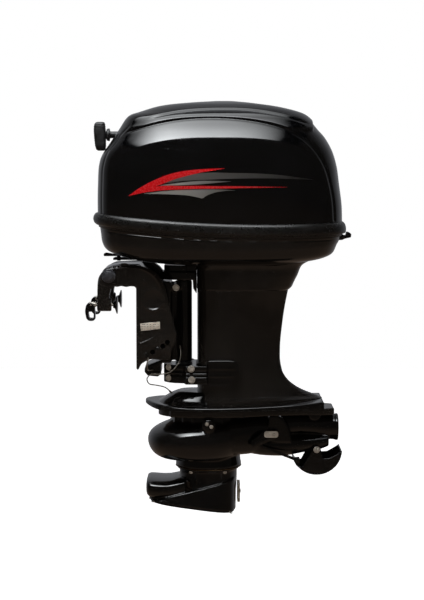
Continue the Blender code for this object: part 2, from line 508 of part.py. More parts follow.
# ---------------------------------------------------------------- jet pump
def build_pump():
    outline = [(53.0, 0.0), (55.0, 40.0), (80.0, 74.0), (120.0, 92.0), (180.0, 98.0), (250.0, 90.0), (330.0, 66.0),
               (420.0, 52.0), (490.0, 46.0), (500.0, 40.0)]
    outline = outline + mirrored(outline)[:-1]
    carrier = prism("pump_carrier", outline, "XY", -331.0, -313.4, "paint")
    boss = turned("add_carrier_boss", [(30.0, -352.0), (34.0, -340.0), (34.0, -330.0)],
                  (DRIVE_X, 0.0, 0.0), "Z", None, 24)
    add(carrier, boss)
    cut(carrier, rod("cut_carrier", 8.6, -400.0, -300.0, (DRIVE_X, 0.0, 0.0), "Z", None, 20))

    rings = []
    for z, front, radius, width in [(-331.4, 60.0, 96.0, 92.0), (-350.0, 38.0, 112.0, 108.0),
                                    (-385.0, 25.0, 122.5, 119.0), (-420.0, 28.0, 119.0, 116.0),
                                    (-440.0, 42.0, 106.0, 104.0), (-448.0, 58.0, 90.0, 92.0)]:
        rings.append([(x, y, z) for x, y, _ in oval(front, front + 2.0 * radius, width, 2.1, 24)])
    volute = loft("volute_housing", rings, "paint")
    collar = turned("add_collar", [(84.0, -467.0), (84.0, -462.0), (80.0, -458.0), (80.0, -430.0)],
                    (DRIVE_X, 0.0, 0.0), "Z", None, 24)
    duct = []
    for x, z_top, z_low, width in [(170.0, -340.0, -438.0, 96.0), (250.0, -340.0, -436.0, 78.0),
                                   (300.0, -338.0, -432.0, 58.0), (345.0, -336.5, -418.0, 44.0),
                                   (372.0, -335.8, -402.0, 33.0), (507.0, -335.5, -400.5, 32.5)]:
        middle, half = 0.5 * (z_top + z_low), 0.5 * (z_top - z_low)
        square = 3.2 if x < 310.0 else 2.2
        duct.append([(x, y, middle + z) for y, z, _ in oval(-width, width, half, square, 20)])
    duct = loft("add_duct", duct, None)
    lip = rod("add_lip", 34.6, 505.0, 512.0, (0.0, 0.0, JET_Z), "X", None, 20)
    belly = [(262.0, -398.0), (487.0, -398.0), (487.0, -415.0), (470.0, -423.0), (466.0, -428.0), (442.0, -428.0),
             (420.0, -432.0), (398.0, -437.0), (374.0, -441.0), (338.0, -441.0), (305.0, -436.0), (262.0, -430.0)]
    boss = turned("add_crank_boss", [(9.0, -25.0), (9.0, -70.0), (4.0, -70.0), (4.0, -77.0)],
                  (CRANK_X, 0.0, CRANK_Z), "Y", None, 14)
    cap = turned("add_cap", [(17.0, -90.0), (17.0, -108.0), (14.0, -112.0)], (DRIVE_X, 0.0, -348.0), "Y", None, 14)
    add(volute, collar, duct, lip, boss, cap, prism("add_belly", belly, "XZ", -49.5, 49.5, None))
    inside = turned("cut_volute", [(72.0, -420.0), (72.0, -480.0)], (DRIVE_X, 0.0, 0.0), "Z", None, 24)
    room = [[(x, y, z) for x, y, _ in oval(front, front + 2.0 * radius, width, 2.1, 20)]
            for z, front, radius, width in [(-339.0, 70.0, 86.0, 84.0), (-385.0, 34.0, 113.5, 110.0),
                                            (-418.0, 36.0, 111.0, 108.0), (-432.0, 52.0, 96.0, 94.0)]]
    room = loft("cut_room", room, None)
    bore = [[(x, y, JET_Z + dz + z) for y, z, _ in oval(-w, w, h, 2.3, 18)]
            for x, w, h, dz in [(200.0, 70.0, 42.0, -19.0), (300.0, 50.0, 36.0, -12.0), (372.0, 26.0, 26.0, 0.0),
                                (530.0, 26.0, 26.0, 0.0)]]
    bore = loft("cut_bore", bore, None)
    mouth = rod("cut_mouth", 60.0, -345.0, -325.0, (DRIVE_X, 0.0, 0.0), "Z", None, 20)
    cut(volute, room, inside, bore, mouth,
        rod("cut_hanger", 5.2, -80.0, 80.0, (GATE_X, 0.0, GATE_Z), "Y", None, 14))

    tube("impeller_liner", 71.2, 68.5, -466.0, -434.0, (DRIVE_X, 0.0, 0.0), "Z", "steel", 24)

    stations = [(-467.4, 106.0, 253.0, 73.5, 2.0), (-482.0, 106.0, 253.0, 73.0, 2.0),
                (-498.0, 84.0, 252.0, 77.0, 2.2), (-524.0, 52.0, 250.5, 84.0, 2.8),
                (-543.0, 26.0, 250.0, 90.0, 3.2)]
    rings = [[(x, y, z) for x, y, _ in oval(a, b, w, n, 26)] for z, a, b, w, n in stations]
    foot = []
    for x, y, _ in oval(22.0, 250.0, 90.0, 3.4, 26):
        foot.append((x, y, -545.0 - 0.138 * (x - 22.0)))
    rings.append(foot)
    intake = loft("intake_housing", rings, "paint")
    lip = [[(x, y, -514.0 + z) for y, z, _ in oval(-w, w, h, 2.6, 16)]
           for x, w, h in [(21.5, 74.0, 25.0), (32.0, 80.0, 30.0), (70.0, 70.0, 26.0)]]
    add(intake, loft("add_front_lip", lip, None))
    throat = [[(x, y, z) for x, y, _ in oval(a, b, w, n, 22)]
              for z, a, b, w, n in [(-460.0, 112.0, 248.0, 68.0, 2.0), (-484.0, 112.0, 246.0, 67.0, 2.0),
                                    (-500.0, 100.0, 244.0, 68.0, 2.2), (-545.0, 56.0, 240.0, 72.0, 3.0),
                                    (-600.0, 40.0, 238.0, 74.0, 3.4)]]
    cut(intake, loft("cut_throat", throat, None))

    frame = []
    for depth in (0.0, 5.0):
        frame.append([(x, y, -545.4 - 0.138 * (x - 22.0) - depth) for x, y, _ in oval(30.0, 246.0, 84.0, 3.4, 26)])
    grille = loft("intake_grille", frame, "steel")
    slots = []
    for index in range(10):
        y = -67.5 + 15.0 * index
        reach = 96.0 - abs(y) * 0.2
        slots.append(block("cut_slot_%d" % index, 138.0 - reach + 6.0, 138.0 + reach, y - 5.0, y + 5.0,
                           -620.0, -530.0, None))
    cut(grille, *slots)

    anode = rounded(-30.0, 30.0, -560.0, -510.0, 8.0, 3)
    prism("anode", anode, "YZ", 253.4, 261.0, "zinc")


def arc(radius, first, last, steps):
    """Points round the gate pivot, angles in degrees from +X towards +Z."""
    points = []
    for k in range(steps + 1):
        angle = math.radians(first + (last - first) * k / steps)
        points.append((GATE_X + radius * math.cos(angle), GATE_Z + radius * math.sin(angle)))
    return points


def build_gate():
    strip = arc(GATE_R, -160.0, -3.0, 12) + arc(GATE_R - 3.0, -3.0, -160.0, 12)
    gate = prism("reverse_gate", strip, "XZ", -54.0, 54.0, "paint")
    eye_x, eye_z = GATE_X + ARM[0], GATE_Z + ARM[1]
    cheek = arc(GATE_R - 1.0, -134.0, -4.0, 9) + [(GATE_X + 52.0, GATE_Z - 12.0), (GATE_X + 34.0, GATE_Z - 22.0)]
    cheek += [(GATE_X + 17.0, GATE_Z - 22.0), (GATE_X + 10.0, GATE_Z + 2.0), (GATE_X + 5.0, GATE_Z + 9.0),
              (GATE_X - 5.0, GATE_Z + 9.0), (GATE_X - 10.0, GATE_Z + 2.0), (GATE_X - 18.0, GATE_Z - 36.0)]
    lug = [(eye_x - 8.0, eye_z + 5.0), (eye_x + 5.0, eye_z + 6.5), (eye_x + 8.0, eye_z - 2.0),
           (eye_x + 4.0, eye_z - 22.0), (eye_x - 4.0, eye_z - 14.0)]
    add(gate, prism("add_cheek_port", cheek, "XZ", -53.6, -50.6, None),
        prism("add_cheek_starboard", cheek, "XZ", 50.6, 53.6, None),
        prism("add_gate_lug", lug, "XZ", -53.4, -50.4, None))
    cut(gate, rod("cut_gate_pin", 5.4, -80.0, 80.0, (GATE_X, 0.0, GATE_Z), "Y", None, 14),
        rod("cut_gate_eye", 3.3, -80.0, 0.0, (eye_x, 0.0, eye_z), "Y", None, 12))
    profile = [(0.0, -60.0), (8.5, -60.0), (8.5, -54.4), (5.0, -54.4), (5.0, 54.4), (8.5, 54.4), (8.5, 60.0),
               (0.0, 60.0)]
    turned("gate_pivot_bolt", profile, (GATE_X, 0.0, GATE_Z), "Y", "steel", 14)
    pin_x, pin_z = GATE_X + ARM[0], GATE_Z + ARM[1]
    top_x, top_z = CRANK_X + ARM[0], CRANK_Z + ARM[1]
    length = math.hypot(pin_x - top_x, pin_z - top_z)
    ax, az = (pin_x - top_x) / length, (pin_z - top_z) / length
    shape = []
    for along, across in [(-6.0, -4.0), (-3.0, -6.5), (3.0, -6.5), (9.0, -3.5), (length - 9.0, -3.5),
                          (length - 3.0, -6.5), (length + 3.0, -6.5), (length + 6.0, -4.0)]:
        shape.append((along, across))
    shape = shape + [(a, -b) for a, b in reversed(shape)]
    outline = [(top_x + ax * a - az * b, top_z + az * a + ax * b) for a, b in shape]
    link = prism("shift_link", outline, "XZ", -68.0, -64.0, "steel")
    add(link, rod("add_gate_pin", 3.0, -66.0, -50.6, (pin_x, 0.0, pin_z), "Y", None, 12),
        rod("add_crank_pin", 3.0, -70.0, -66.0, (top_x, 0.0, top_z), "Y", None, 12))
    crank = [(CRANK_X + 11.0, CRANK_Z - 8.0), (CRANK_X + 12.0, CRANK_Z + 9.0), (CRANK_X - 25.0, CRANK_Z + 9.0),
             (top_x - 8.0, top_z + 6.0), (top_x - 6.0, top_z - 7.0), (top_x + 4.0, top_z - 8.0)]
    made = prism("shift_bell_crank", crank, "XZ", -74.0, -70.4, "white")
    cut(made, rod("cut_crank", 4.3, -90.0, 0.0, (CRANK_X, 0.0, CRANK_Z), "Y", None, 14))


# ---------------------------------------------------------------- powerhead and rotating line
def build_powerhead():
    rings = [[(x, y, z) for x, y in rounded(116.0, 246.0, -w, w, 14.0, 3)]
             for z, w in [(64.0, 62.0), (78.0, 66.0), (286.0, 66.0), (294.0, 58.0)]]
    case = loft("crankcase", rings, "paint")
    cut(case, rod("cut_crankcase", 36.0, 76.0, 282.0, (DRIVE_X, 0.0, 0.0), "Z", None, 24),
        rod("cut_bearing", 13.4, 50.0, 310.0, (DRIVE_X, 0.0, 0.0), "Z", None, 24))
    jug = block("cylinder_block", 246.4, 352.0, -70.0, 70.0, 72.0, 288.0, "paint")
    for index, z in enumerate((132.0, 226.0)):
        cut(jug, rod("cut_bore_%d" % index, 38.0, 200.0, 400.0, (0.0, 0.0, z), "X", None, 24))
    fins = [(352.4, 80.0), (380.0, 80.0)]
    z = 84.0
    while z < 276.0:
        fins += [(390.0, z + 1.0), (390.0, z + 7.0), (382.0, z + 8.0), (382.0, z + 15.0)]
        z += 16.0
    fins += [(380.0, 280.0), (352.4, 280.0)]
    head = prism("cylinder_head", fins, "XZ", -64.0, 64.0, "paint")
    for index, z in enumerate((132.0, 226.0)):
        cut(head, rod("cut_plug_%d" % index, 7.5, 340.0, 400.0, (0.0, 0.0, z), "X", None, 12))
        plug = [(0.0, 350.0), (3.0, 350.0), (7.0, 352.0), (7.0, 390.6), (11.0, 390.6), (11.0, 398.0),
                (6.5, 424.0), (3.0, 428.0), (0.0, 428.0)]
        turned(("lower", "upper")[index] + "_spark_plug", plug, (0.0, 0.0, z), "X", "white", 12)
    carb = loft("carburettor", [[(x, y, z) for y, z in rounded(-h, h, 178.0 - h, 178.0 + h, 9.0, 3)]
                                for x, h in [(115.6, 30.0), (104.0, 30.0), (100.0, 22.0), (84.0, 22.0),
                                             (80.0, 27.0), (66.0, 27.0)]], "bare")
    cut(carb, rod("cut_venturi", 15.0, 40.0, 113.0, (0.0, 0.0, 178.0), "X", None, 20))
    box = loft("air_silencer", [[(x, y, z) for y, z in rounded(-70.0 + e, 70.0 - e, 128.0 + e, 244.0 - e, 16.0, 3)]
                                for x, e in [(65.5, 4.0), (58.0, 0.0), (20.0, 0.0), (10.0, 6.0)]], "plastic")
    cut(box, rod("cut_silencer", 14.0, 40.0, 80.0, (0.0, 0.0, 178.0), "X", None, 20),
        block("cut_box", 24.0, 52.0, -60.0, 60.0, 140.0, 232.0, None))

    wheel = [(13.4, 300.0), (92.0, 300.0), (97.0, 304.0), (97.0, 326.0), (100.0, 330.0), (100.0, 338.0),
             (46.0, 338.0), (46.0, 352.0), (30.0, 352.0), (30.0, 336.0), (13.4, 336.0)]
    turned("flywheel", wheel, (DRIVE_X, 0.0, 0.0), "Z", "iron", 24, loop=True)
    webs = [(0.0, 64.2), (13.0, 64.2), (13.0, 84.0), (30.0, 84.0), (30.0, 96.0), (12.0, 96.0), (12.0, 166.0),
            (30.0, 166.0), (30.0, 190.0), (12.0, 190.0), (12.0, 262.0), (30.0, 262.0), (30.0, 274.0),
            (13.0, 274.0), (13.0, 346.0), (0.0, 346.0)]
    crank = turned("crankshaft", webs, (DRIVE_X, 0.0, 0.0), "Z", "steel", 14)
    cut(crank, rod("cut_spline", 6.3, 40.0, 78.0, (DRIVE_X, 0.0, 0.0), "Z", None, 16))
    rod("driveshaft", 6.0, -404.0, 76.0, (DRIVE_X, 0.0, 0.0), "Z", "steel", 18)
    build_impeller()

    bell = [(0.0, 364.0), (11.6, 364.0), (11.6, 398.5), (86.0, 398.5), (99.5, 390.0), (105.0, 341.5),
            (114.0, 341.5), (114.0, 344.0), (110.0, 346.0), (103.0, 392.0), (88.0, 402.0), (0.0, 404.0)]
    bell = turned("recoil_housing", bell, (DRIVE_X, 0.0, 0.0), "Z", "paint", 28)
    cut(bell, block("cut_window", 40.0, 120.0, 4.0, 62.0, 362.0, 392.0, None))
    for k in range(3):
        angle = math.radians(60.0 + 120.0 * k)
        c, s = math.cos(angle), math.sin(angle)
        outline = [(DRIVE_X + a * c - b * s, a * s + b * c)
                   for a, b in [(104.0, -9.0), (127.0, -9.0), (127.0, 9.0), (104.0, 9.0)]]
        if k != 1:
            add(bell, prism("add_ear_%d" % k, outline, "XY", 342.0, 346.0, None))
    sheave = [(12.0, 368.0), (74.0, 368.0), (SHEAVE_R, 373.0), (SHEAVE_R, 381.0), (74.0, 386.0), (12.0, 386.0)]
    turned("starter_sheave", sheave, (DRIVE_X, 0.0, 0.0), "Z", "plastic", 22, loop=True)
    tube("exhaust_tube", 26.0, 23.5, -250.0, 62.0, (278.0, 0.0, 0.0), "Z", "bare", 16)
    plate = prism("powerhead_adapter", [(x, y) for x, y in rounded(152.0, 376.0, -52.0, 52.0, 26.0, 3)], "XY",
                  51.0, 63.6, "paint")
    cut(plate, rod("cut_shaft", 9.0, 40.0, 80.0, (DRIVE_X, 0.0, 0.0), "Z", None, 12),
        rod("cut_exhaust", 26.4, 40.0, 80.0, (278.0, 0.0, 0.0), "Z", None, 16))


def build_impeller():
    """Mixed-flow impeller: a hub with three helical blades."""
    impeller = turned("impeller", [(6.3, -352.6), (20.0, -352.6), (26.0, -392.0), (30.0, -420.0), (24.0, -448.0),
                                   (12.0, -458.0), (6.3, -458.0)], (DRIVE_X, 0.0, 0.0), "Z", "bare", 16, loop=True)
    for blade in range(3):
        rings = []
        for step in range(5):
            angle = math.radians(120.0 * blade + 24.0 * step)
            z = -448.0 + 6.4 * step
            c, s = math.cos(angle), math.sin(angle)
            low, high = 18.0, 66.5
            rings.append([(DRIVE_X + low * c, low * s, z - 3.0), (DRIVE_X + high * c, high * s, z - 1.5),
                          (DRIVE_X + high * c, high * s, z + 1.5), (DRIVE_X + low * c, low * s, z + 3.0)])
        add(impeller, loft("add_blade_%d" % blade, rings, None))


def build_leads():
    lead("swivel_bond_lead", [(30.0, -117.0, -176.0), (28.0, -120.0, -190.0), (28.0, -112.0, -205.0),
                              (34.0, -84.0, -212.0), (40.0, -58.6, -214.0)], 1.6, "lead")
    lead("engine_bond_lead", [(107.0, -22.0, -156.0), (110.0, -42.0, -168.0), (109.0, -68.0, -184.0),
                              (103.0, -84.0, -197.0), (83.0, -88.0, -216.0), (55.0, -86.0, -221.5),
                              (36.0, -84.0, -222.0), (26.0, -80.0, -233.0), (30.0, -74.0, -246.0),
                              (50.0, -66.0, -252.0), (70.0, -58.0, -258.0), (88.0, -50.0, -274.0)], 1.6, "lead")


def main():
    for old in list(bpy.data.objects):
        bpy.data.objects.remove(old)
    build_cowls()
    build_rope_and_latch()
    build_transom_bracket()
    build_swivel()
    build_steering()
    build_casings()
    build_pump()
    build_gate()
    build_powerhead()
    build_leads()


main()
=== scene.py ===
"""Looks of a jet-drive outboard motor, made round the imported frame.

Shapes are given in millimetres in the frame of the part (+X aft, +Y starboard, +Z up) and
turned into metres when a mesh is made.
"""
import math

import bpy
import numpy as np
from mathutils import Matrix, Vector
from mathutils.bvhtree import BVHTree


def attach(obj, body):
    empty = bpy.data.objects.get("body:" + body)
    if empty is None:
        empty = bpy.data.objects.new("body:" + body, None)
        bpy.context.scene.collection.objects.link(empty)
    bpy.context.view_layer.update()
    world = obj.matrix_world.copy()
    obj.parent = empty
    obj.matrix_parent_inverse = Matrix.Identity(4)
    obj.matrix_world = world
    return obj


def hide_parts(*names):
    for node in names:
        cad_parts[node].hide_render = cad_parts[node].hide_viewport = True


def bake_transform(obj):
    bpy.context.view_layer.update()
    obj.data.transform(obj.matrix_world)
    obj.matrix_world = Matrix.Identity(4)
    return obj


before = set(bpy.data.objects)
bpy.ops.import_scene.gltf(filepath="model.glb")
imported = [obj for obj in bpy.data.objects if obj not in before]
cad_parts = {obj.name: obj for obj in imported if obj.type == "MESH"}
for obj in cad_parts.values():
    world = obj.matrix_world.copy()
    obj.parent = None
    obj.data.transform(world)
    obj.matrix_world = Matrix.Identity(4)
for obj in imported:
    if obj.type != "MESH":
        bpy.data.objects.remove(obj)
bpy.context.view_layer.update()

# ---------------------------------------------------------------- driving dimensions
MM = 0.001
TILT_X, TILT_Z = -67.6, 26.8
STEER_X = 117.5
DRIVE_X = 180.0
DRIVE = (DRIVE_X, 0.0, 0.0)
CYLINDER_Z = (132.0, 226.0)
PLATE_OUT, PLATE_IN = 105.0, 93.0
SCREW_Y, SCREW_Z = 88.0, -46.0
LOWER_BOLT = (26.3, -171.6)
TRIM_HOLES = [(41.0, -163.3), (54.5, -156.8), (66.5, -148.6), (78.0, -139.0)]
ROPE_Z = 377.0
GUIDE_X = -52.0
JET_Z = -368.0
GATE_X, GATE_Z = 454.5, -418.6
CRANK_X, CRANK_Z = 345.0, -376.0
ARM = (-49.5, -24.4)
GATE_R = 65.0
LATCH_X, LATCH_Z = 519.5, 120.5
FRICTION_X = -48.0
LOCK_X, LOCK_Z = 10.0, 36.0
SIDES = ((-1.0, "port"), (1.0, "starboard"))


# ---------------------------------------------------------------- materials
def nodes_of(name):
    made = bpy.data.materials.new(name)
    made.use_nodes = True
    tree = made.node_tree
    shader = tree.nodes["Principled BSDF"]
    place = tree.nodes.new("ShaderNodeTexCoord")
    return made, tree, shader, place.outputs["Object"]


def noise(tree, place, scale, detail=3.0, stretch=None):
    if stretch:
        turn = tree.nodes.new("ShaderNodeMapping")
        turn.inputs["Scale"].default_value = stretch
        tree.links.new(place, turn.inputs["Vector"])
        place = turn.outputs["Vector"]
    made = tree.nodes.new("ShaderNodeTexNoise")
    made.inputs["Scale"].default_value = scale
    made.inputs["Detail"].default_value = detail
    tree.links.new(place, made.inputs["Vector"])
    return made.outputs["Fac"]


def spread(tree, value, low, high, start=0.3, end=0.7):
    """value from start to end becomes low to high."""
    made = tree.nodes.new("ShaderNodeMapRange")
    made.inputs["From Min"].default_value = start
    made.inputs["From Max"].default_value = end
    made.inputs["To Min"].default_value = low
    made.inputs["To Max"].default_value = high
    tree.links.new(value, made.inputs["Value"])
    return made.outputs["Result"]


def blend_colours(tree, factor, first, second):
    made = tree.nodes.new("ShaderNodeMix")
    made.data_type = "RGBA"
    tree.links.new(factor, made.inputs[0])
    for socket, colour in ((made.inputs[6], first), (made.inputs[7], second)):
        if isinstance(colour, tuple):
            socket.default_value = (*colour, 1.0)
        else:
            tree.links.new(colour, socket)
    return made.outputs[2]


def surface(name, dark, light, rough, metal=0.0, coat=0.0, mottle=40.0, grain=700.0, bump=0.05,
            peel=0.0, stretch=None, wear_and_sheen=None, specular=0.5):
    """Finish with mottled colour, uneven gloss, fine grain and, if an edge colour is given, edges lightened
    towards it: partly rubbed wear, partly painted highlight.
    """
    made, tree, shader, place = nodes_of(name)
    colour = blend_colours(tree, spread(tree, noise(tree, place, mottle, 4.0, stretch), 0.0, 1.0), dark,
                           light)
    if wear_and_sheen:
        # Convex edges found by Pointiness are lightened, broken up by noise: rubbed wear mixed with a painted
        # highlight along the edges.
        edge = tree.nodes.new("ShaderNodeNewGeometry").outputs["Pointiness"]
        rub_and_sheen = tree.nodes.new("ShaderNodeMath")
        rub_and_sheen.operation = "MULTIPLY"
        tree.links.new(spread(tree, edge, 0.0, 0.8, 0.53, 0.62), rub_and_sheen.inputs[0])
        tree.links.new(spread(tree, noise(tree, place, 90.0, 5.0), 0.0, 1.0, 0.42, 0.6), rub_and_sheen.inputs[1])
        colour = blend_colours(tree, rub_and_sheen.outputs["Value"], colour, wear_and_sheen)
    tree.links.new(colour, shader.inputs["Base Color"])
    smudge = noise(tree, place, mottle * 1.7, 5.0, stretch)
    tree.links.new(spread(tree, smudge, rough[0], rough[1]), shader.inputs["Roughness"])
    shader.inputs["Metallic"].default_value = metal
    shader.inputs["Coat Weight"].default_value = coat
    shader.inputs["Coat Roughness"].default_value = 0.04
    shader.inputs["Specular IOR Level"].default_value = specular
    fine = tree.nodes.new("ShaderNodeBump")
    fine.inputs["Strength"].default_value = bump
    fine.inputs["Distance"].default_value = 0.0004
    tree.links.new(noise(tree, place, grain, 2.0, stretch), fine.inputs["Height"])
    if peel:
        soft = tree.nodes.new("ShaderNodeBump")
        soft.inputs["Strength"].default_value = peel
        soft.inputs["Distance"].default_value = 0.0012
        tree.links.new(noise(tree, place, 55.0, 1.0), soft.inputs["Height"])
        tree.links.new(soft.outputs["Normal"], fine.inputs["Normal"])
    tree.links.new(fine.outputs["Normal"], shader.inputs["Normal"])
    return made


def label_material():
    """Printed rating plate: pale ground and plain rules, with no lettering."""
    made, tree, shader, place = nodes_of("label_print")
    wave = tree.nodes.new("ShaderNodeTexWave")
    wave.wave_type = "BANDS"
    wave.bands_direction = "Z"
    wave.inputs["Scale"].default_value = 55.0
    tree.links.new(place, wave.inputs["Vector"])
    rule = spread(tree, wave.outputs["Fac"], 0.0, 1.0, 0.80, 0.88)
    broken = tree.nodes.new("ShaderNodeMath")
    broken.operation = "MULTIPLY"
    tree.links.new(rule, broken.inputs[0])
    tree.links.new(spread(tree, noise(tree, place, 260.0, 1.0, (1.0, 1.0, 0.2)), 0.0, 1.0, 0.48, 0.52),
                   broken.inputs[1])
    stain = blend_colours(tree, spread(tree, noise(tree, place, 120.0, 4.0), 0.0, 1.0), (0.62, 0.55, 0.47),
                          (0.76, 0.71, 0.63))
    tree.links.new(blend_colours(tree, broken.outputs["Value"], stain, (0.16, 0.13, 0.11)),
                   shader.inputs["Base Color"])
    shader.inputs["Roughness"].default_value = 0.42
    return made


def fading_decal(name, near, far, start, end, metal, rough):
    """Decal ink that changes tone along X, with a fine metallic fleck."""
    made, tree, shader, place = nodes_of(name)
    parts = tree.nodes.new("ShaderNodeSeparateXYZ")
    tree.links.new(place, parts.inputs["Vector"])
    along = spread(tree, parts.outputs["X"], 0.0, 1.0, start * MM, end * MM)
    tone = blend_colours(tree, along, near, far)
    fleck = spread(tree, noise(tree, place, 2600.0, 2.0), 0.0, 0.10, 0.45, 0.75)
    tree.links.new(blend_colours(tree, fleck, tone, tuple(min(1.0, c * 1.5 + 0.02) for c in near)),
                   shader.inputs["Base Color"])
    tree.links.new(spread(tree, noise(tree, place, 300.0, 2.0), rough, rough + 0.1),
                   shader.inputs["Roughness"])
    shader.inputs["Metallic"].default_value = metal
    shader.inputs["Coat Weight"].default_value = 0.6
    shader.inputs["Coat Roughness"].default_value = 0.05
    return made


GLOSS = surface("gloss_black", (0.0016, 0.0016, 0.0018), (0.0030, 0.0030, 0.0034), (0.045, 0.085),
                coat=0.35, mottle=14.0, grain=2200.0, bump=0.012, peel=0.025)
SEAL = surface("band_black", (0.0060, 0.0058, 0.0056), (0.0110, 0.0104, 0.0100), (0.24, 0.34),
               mottle=30.0, grain=1500.0, bump=0.04)
PAN = surface("pan_black", (0.0060, 0.0052, 0.0046), (0.0100, 0.0086, 0.0076), (0.10, 0.17),
              coat=0.25, mottle=18.0, grain=1800.0, bump=0.02, peel=0.03)
# The last colour given to PAINT, DARK and HEAD lightens their edges: part wear, part painted highlight.
PAINT = surface("cast_paint", (0.0092, 0.0078, 0.0066), (0.0155, 0.0130, 0.0110), (0.13, 0.23),
                coat=0.30, mottle=26.0, grain=900.0, bump=0.05, peel=0.06, wear_and_sheen=(0.045, 0.040, 0.036))
DARK = surface("cast_gloss", (0.0022, 0.0020, 0.0019), (0.0050, 0.0045, 0.0042), (0.07, 0.14),
               coat=0.40, mottle=24.0, grain=900.0, bump=0.05, peel=0.07, wear_and_sheen=(0.040, 0.037, 0.034))
RUBBER = surface("rubber_black", (0.0075, 0.0075, 0.0080), (0.0140, 0.0140, 0.0145), (0.42, 0.60),
                 mottle=60.0, grain=1700.0, bump=0.25)
STEEL = surface("stainless", (0.38, 0.35, 0.31), (0.62, 0.58, 0.52), (0.22, 0.42), metal=0.35,
                mottle=160.0, grain=1500.0, bump=0.10)
DULL = surface("dull_steel", (0.20, 0.18, 0.155), (0.42, 0.38, 0.33), (0.34, 0.52), metal=0.9,
               mottle=220.0, grain=1200.0, bump=0.20)
BARE = surface("bare_alloy", (0.34, 0.34, 0.34), (0.52, 0.52, 0.52), (0.32, 0.48), metal=1.0,
               mottle=90.0, grain=1100.0, bump=0.20)
IRON = surface("cast_iron", (0.030, 0.029, 0.028), (0.075, 0.070, 0.066), (0.42, 0.60), metal=0.8,
               mottle=70.0, grain=650.0, bump=0.35)
ZINC = surface("anode_zinc", (0.26, 0.22, 0.165), (0.46, 0.41, 0.33), (0.48, 0.70), metal=0.35,
               mottle=130.0, grain=500.0, bump=0.5)
PLASTIC = surface("moulded_plastic", (0.010, 0.010, 0.011), (0.018, 0.018, 0.019), (0.34, 0.48),
                  mottle=50.0, grain=1400.0, bump=0.15)
CERAMIC = surface("plug_white", (0.60, 0.60, 0.57), (0.76, 0.76, 0.73), (0.18, 0.32), mottle=80.0,
                  grain=900.0, bump=0.05)
CORD = surface("cord_sheath", (0.16, 0.145, 0.125), (0.28, 0.255, 0.225), (0.40, 0.58), metal=0.2,
               mottle=300.0, grain=1800.0, bump=0.3, stretch=(1.0, 1.0, 0.6))
BRONZE = surface("ring_bronze", (0.16, 0.115, 0.065), (0.30, 0.22, 0.13), (0.28, 0.45), metal=1.0,
                 mottle=120.0, grain=1300.0, bump=0.12)
PALE = surface("pale_plate", (0.50, 0.47, 0.42), (0.70, 0.66, 0.60), (0.30, 0.46), metal=0.35,
               mottle=140.0, grain=1000.0, bump=0.10)
SHADE = surface("bore_shade", (0.0004, 0.0004, 0.0004), (0.0009, 0.0009, 0.0009), (0.80, 0.95), specular=0.05)
HEAD = surface("block_paint", (0.020, 0.021, 0.024), (0.038, 0.039, 0.044), (0.35, 0.50), metal=0.2,
               mottle=40.0, grain=600.0, bump=0.22, wear_and_sheen=(0.14, 0.14, 0.14))


# ---------------------------------------------------------------- shapes: (points, faces)
def rows(rings, loop=False):
    """Skin over rings of equal length; a ring of one point is a pole and open ends are capped."""
    points = []
    starts = []
    for ring in rings:
        starts.append(len(points))
        points.extend([tuple(p) for p in ring])
    faces = []
    count = len(rings)
    for i in range(count if loop else count - 1):
        j = (i + 1) % count
        la, lb = len(rings[i]), len(rings[j])
        for k in range(max(la, lb)):
            m = (k + 1) % max(la, lb)
            if la == 1:
                faces.append((starts[i], starts[j] + m, starts[j] + k))
            elif lb == 1:
                faces.append((starts[i] + k, starts[i] + m, starts[j]))
            else:
                faces.append((starts[i] + k, starts[i] + m, starts[j] + m, starts[j] + k))
    if not loop:
        for first, ring in ((starts[0], rings[0]), (starts[-1], rings[-1])):
            if len(ring) > 2:
                faces.append(tuple(first + k for k in range(len(ring))))
    return points, faces


def joined(*shapes):
    points, faces = [], []
    for more_points, more_faces in shapes:
        first = len(points)
        points.extend(more_points)
        faces.extend(tuple(first + k for k in face) for face in more_faces)
    return points, faces


def turned(profile, centre, axis, segments=64, loop=False, start=0.0):
    rings = []
    for radius, height in profile:
        ring = []
        for k in range(1 if radius < 1e-9 else segments):
            angle = start + 2.0 * math.pi * k / segments
            p, q = radius * math.cos(angle), radius * math.sin(angle)
            offset = {"X": (height, p, q), "Y": (q, height, p), "Z": (p, q, height)}[axis]
            ring.append(tuple(centre[i] + offset[i] for i in range(3)))
        rings.append(ring)
    return rows(rings, loop)


def rod(radius, lo, hi, centre, axis, segments=48, edge=0.0):
    lo, hi = min(lo, hi), max(lo, hi)
    if not edge:
        return turned([(radius, lo), (radius, hi)], centre, axis, segments)
    profile = [(radius - edge, lo), (radius - 0.3 * edge, lo + 0.3 * edge), (radius, lo + edge),
               (radius, hi - edge), (radius - 0.3 * edge, hi - 0.3 * edge), (radius - edge, hi)]
    return turned(profile, centre, axis, segments)


def prism(outline, plane, lo, hi):
    def place(p, depth):
        return {"XZ": (p[0], depth, p[1]), "XY": (p[0], p[1], depth), "YZ": (depth, p[0], p[1])}[plane]
    return rows([[place(p, lo) for p in outline], [place(p, hi) for p in outline]])


def block(x0, x1, y0, y1, z0, z1):
    return prism([(x0, y0), (x1, y0), (x1, y1), (x0, y1)], "XY", z0, z1)


def mirrored(outline):
    return [(x, -y) for x, y in reversed(outline)]


def rounded(x0, x1, y0, y1, radius, steps=8):
    points = []
    corners = [(x1 - radius, y1 - radius, 0), (x0 + radius, y1 - radius, 90),
               (x0 + radius, y0 + radius, 180), (x1 - radius, y0 + radius, 270)]
    for cx, cy, first in corners:
        for k in range(steps + 1):
            angle = math.radians(first + 90.0 * k / steps)
            points.append((cx + radius * math.cos(angle), cy + radius * math.sin(angle)))
    return points


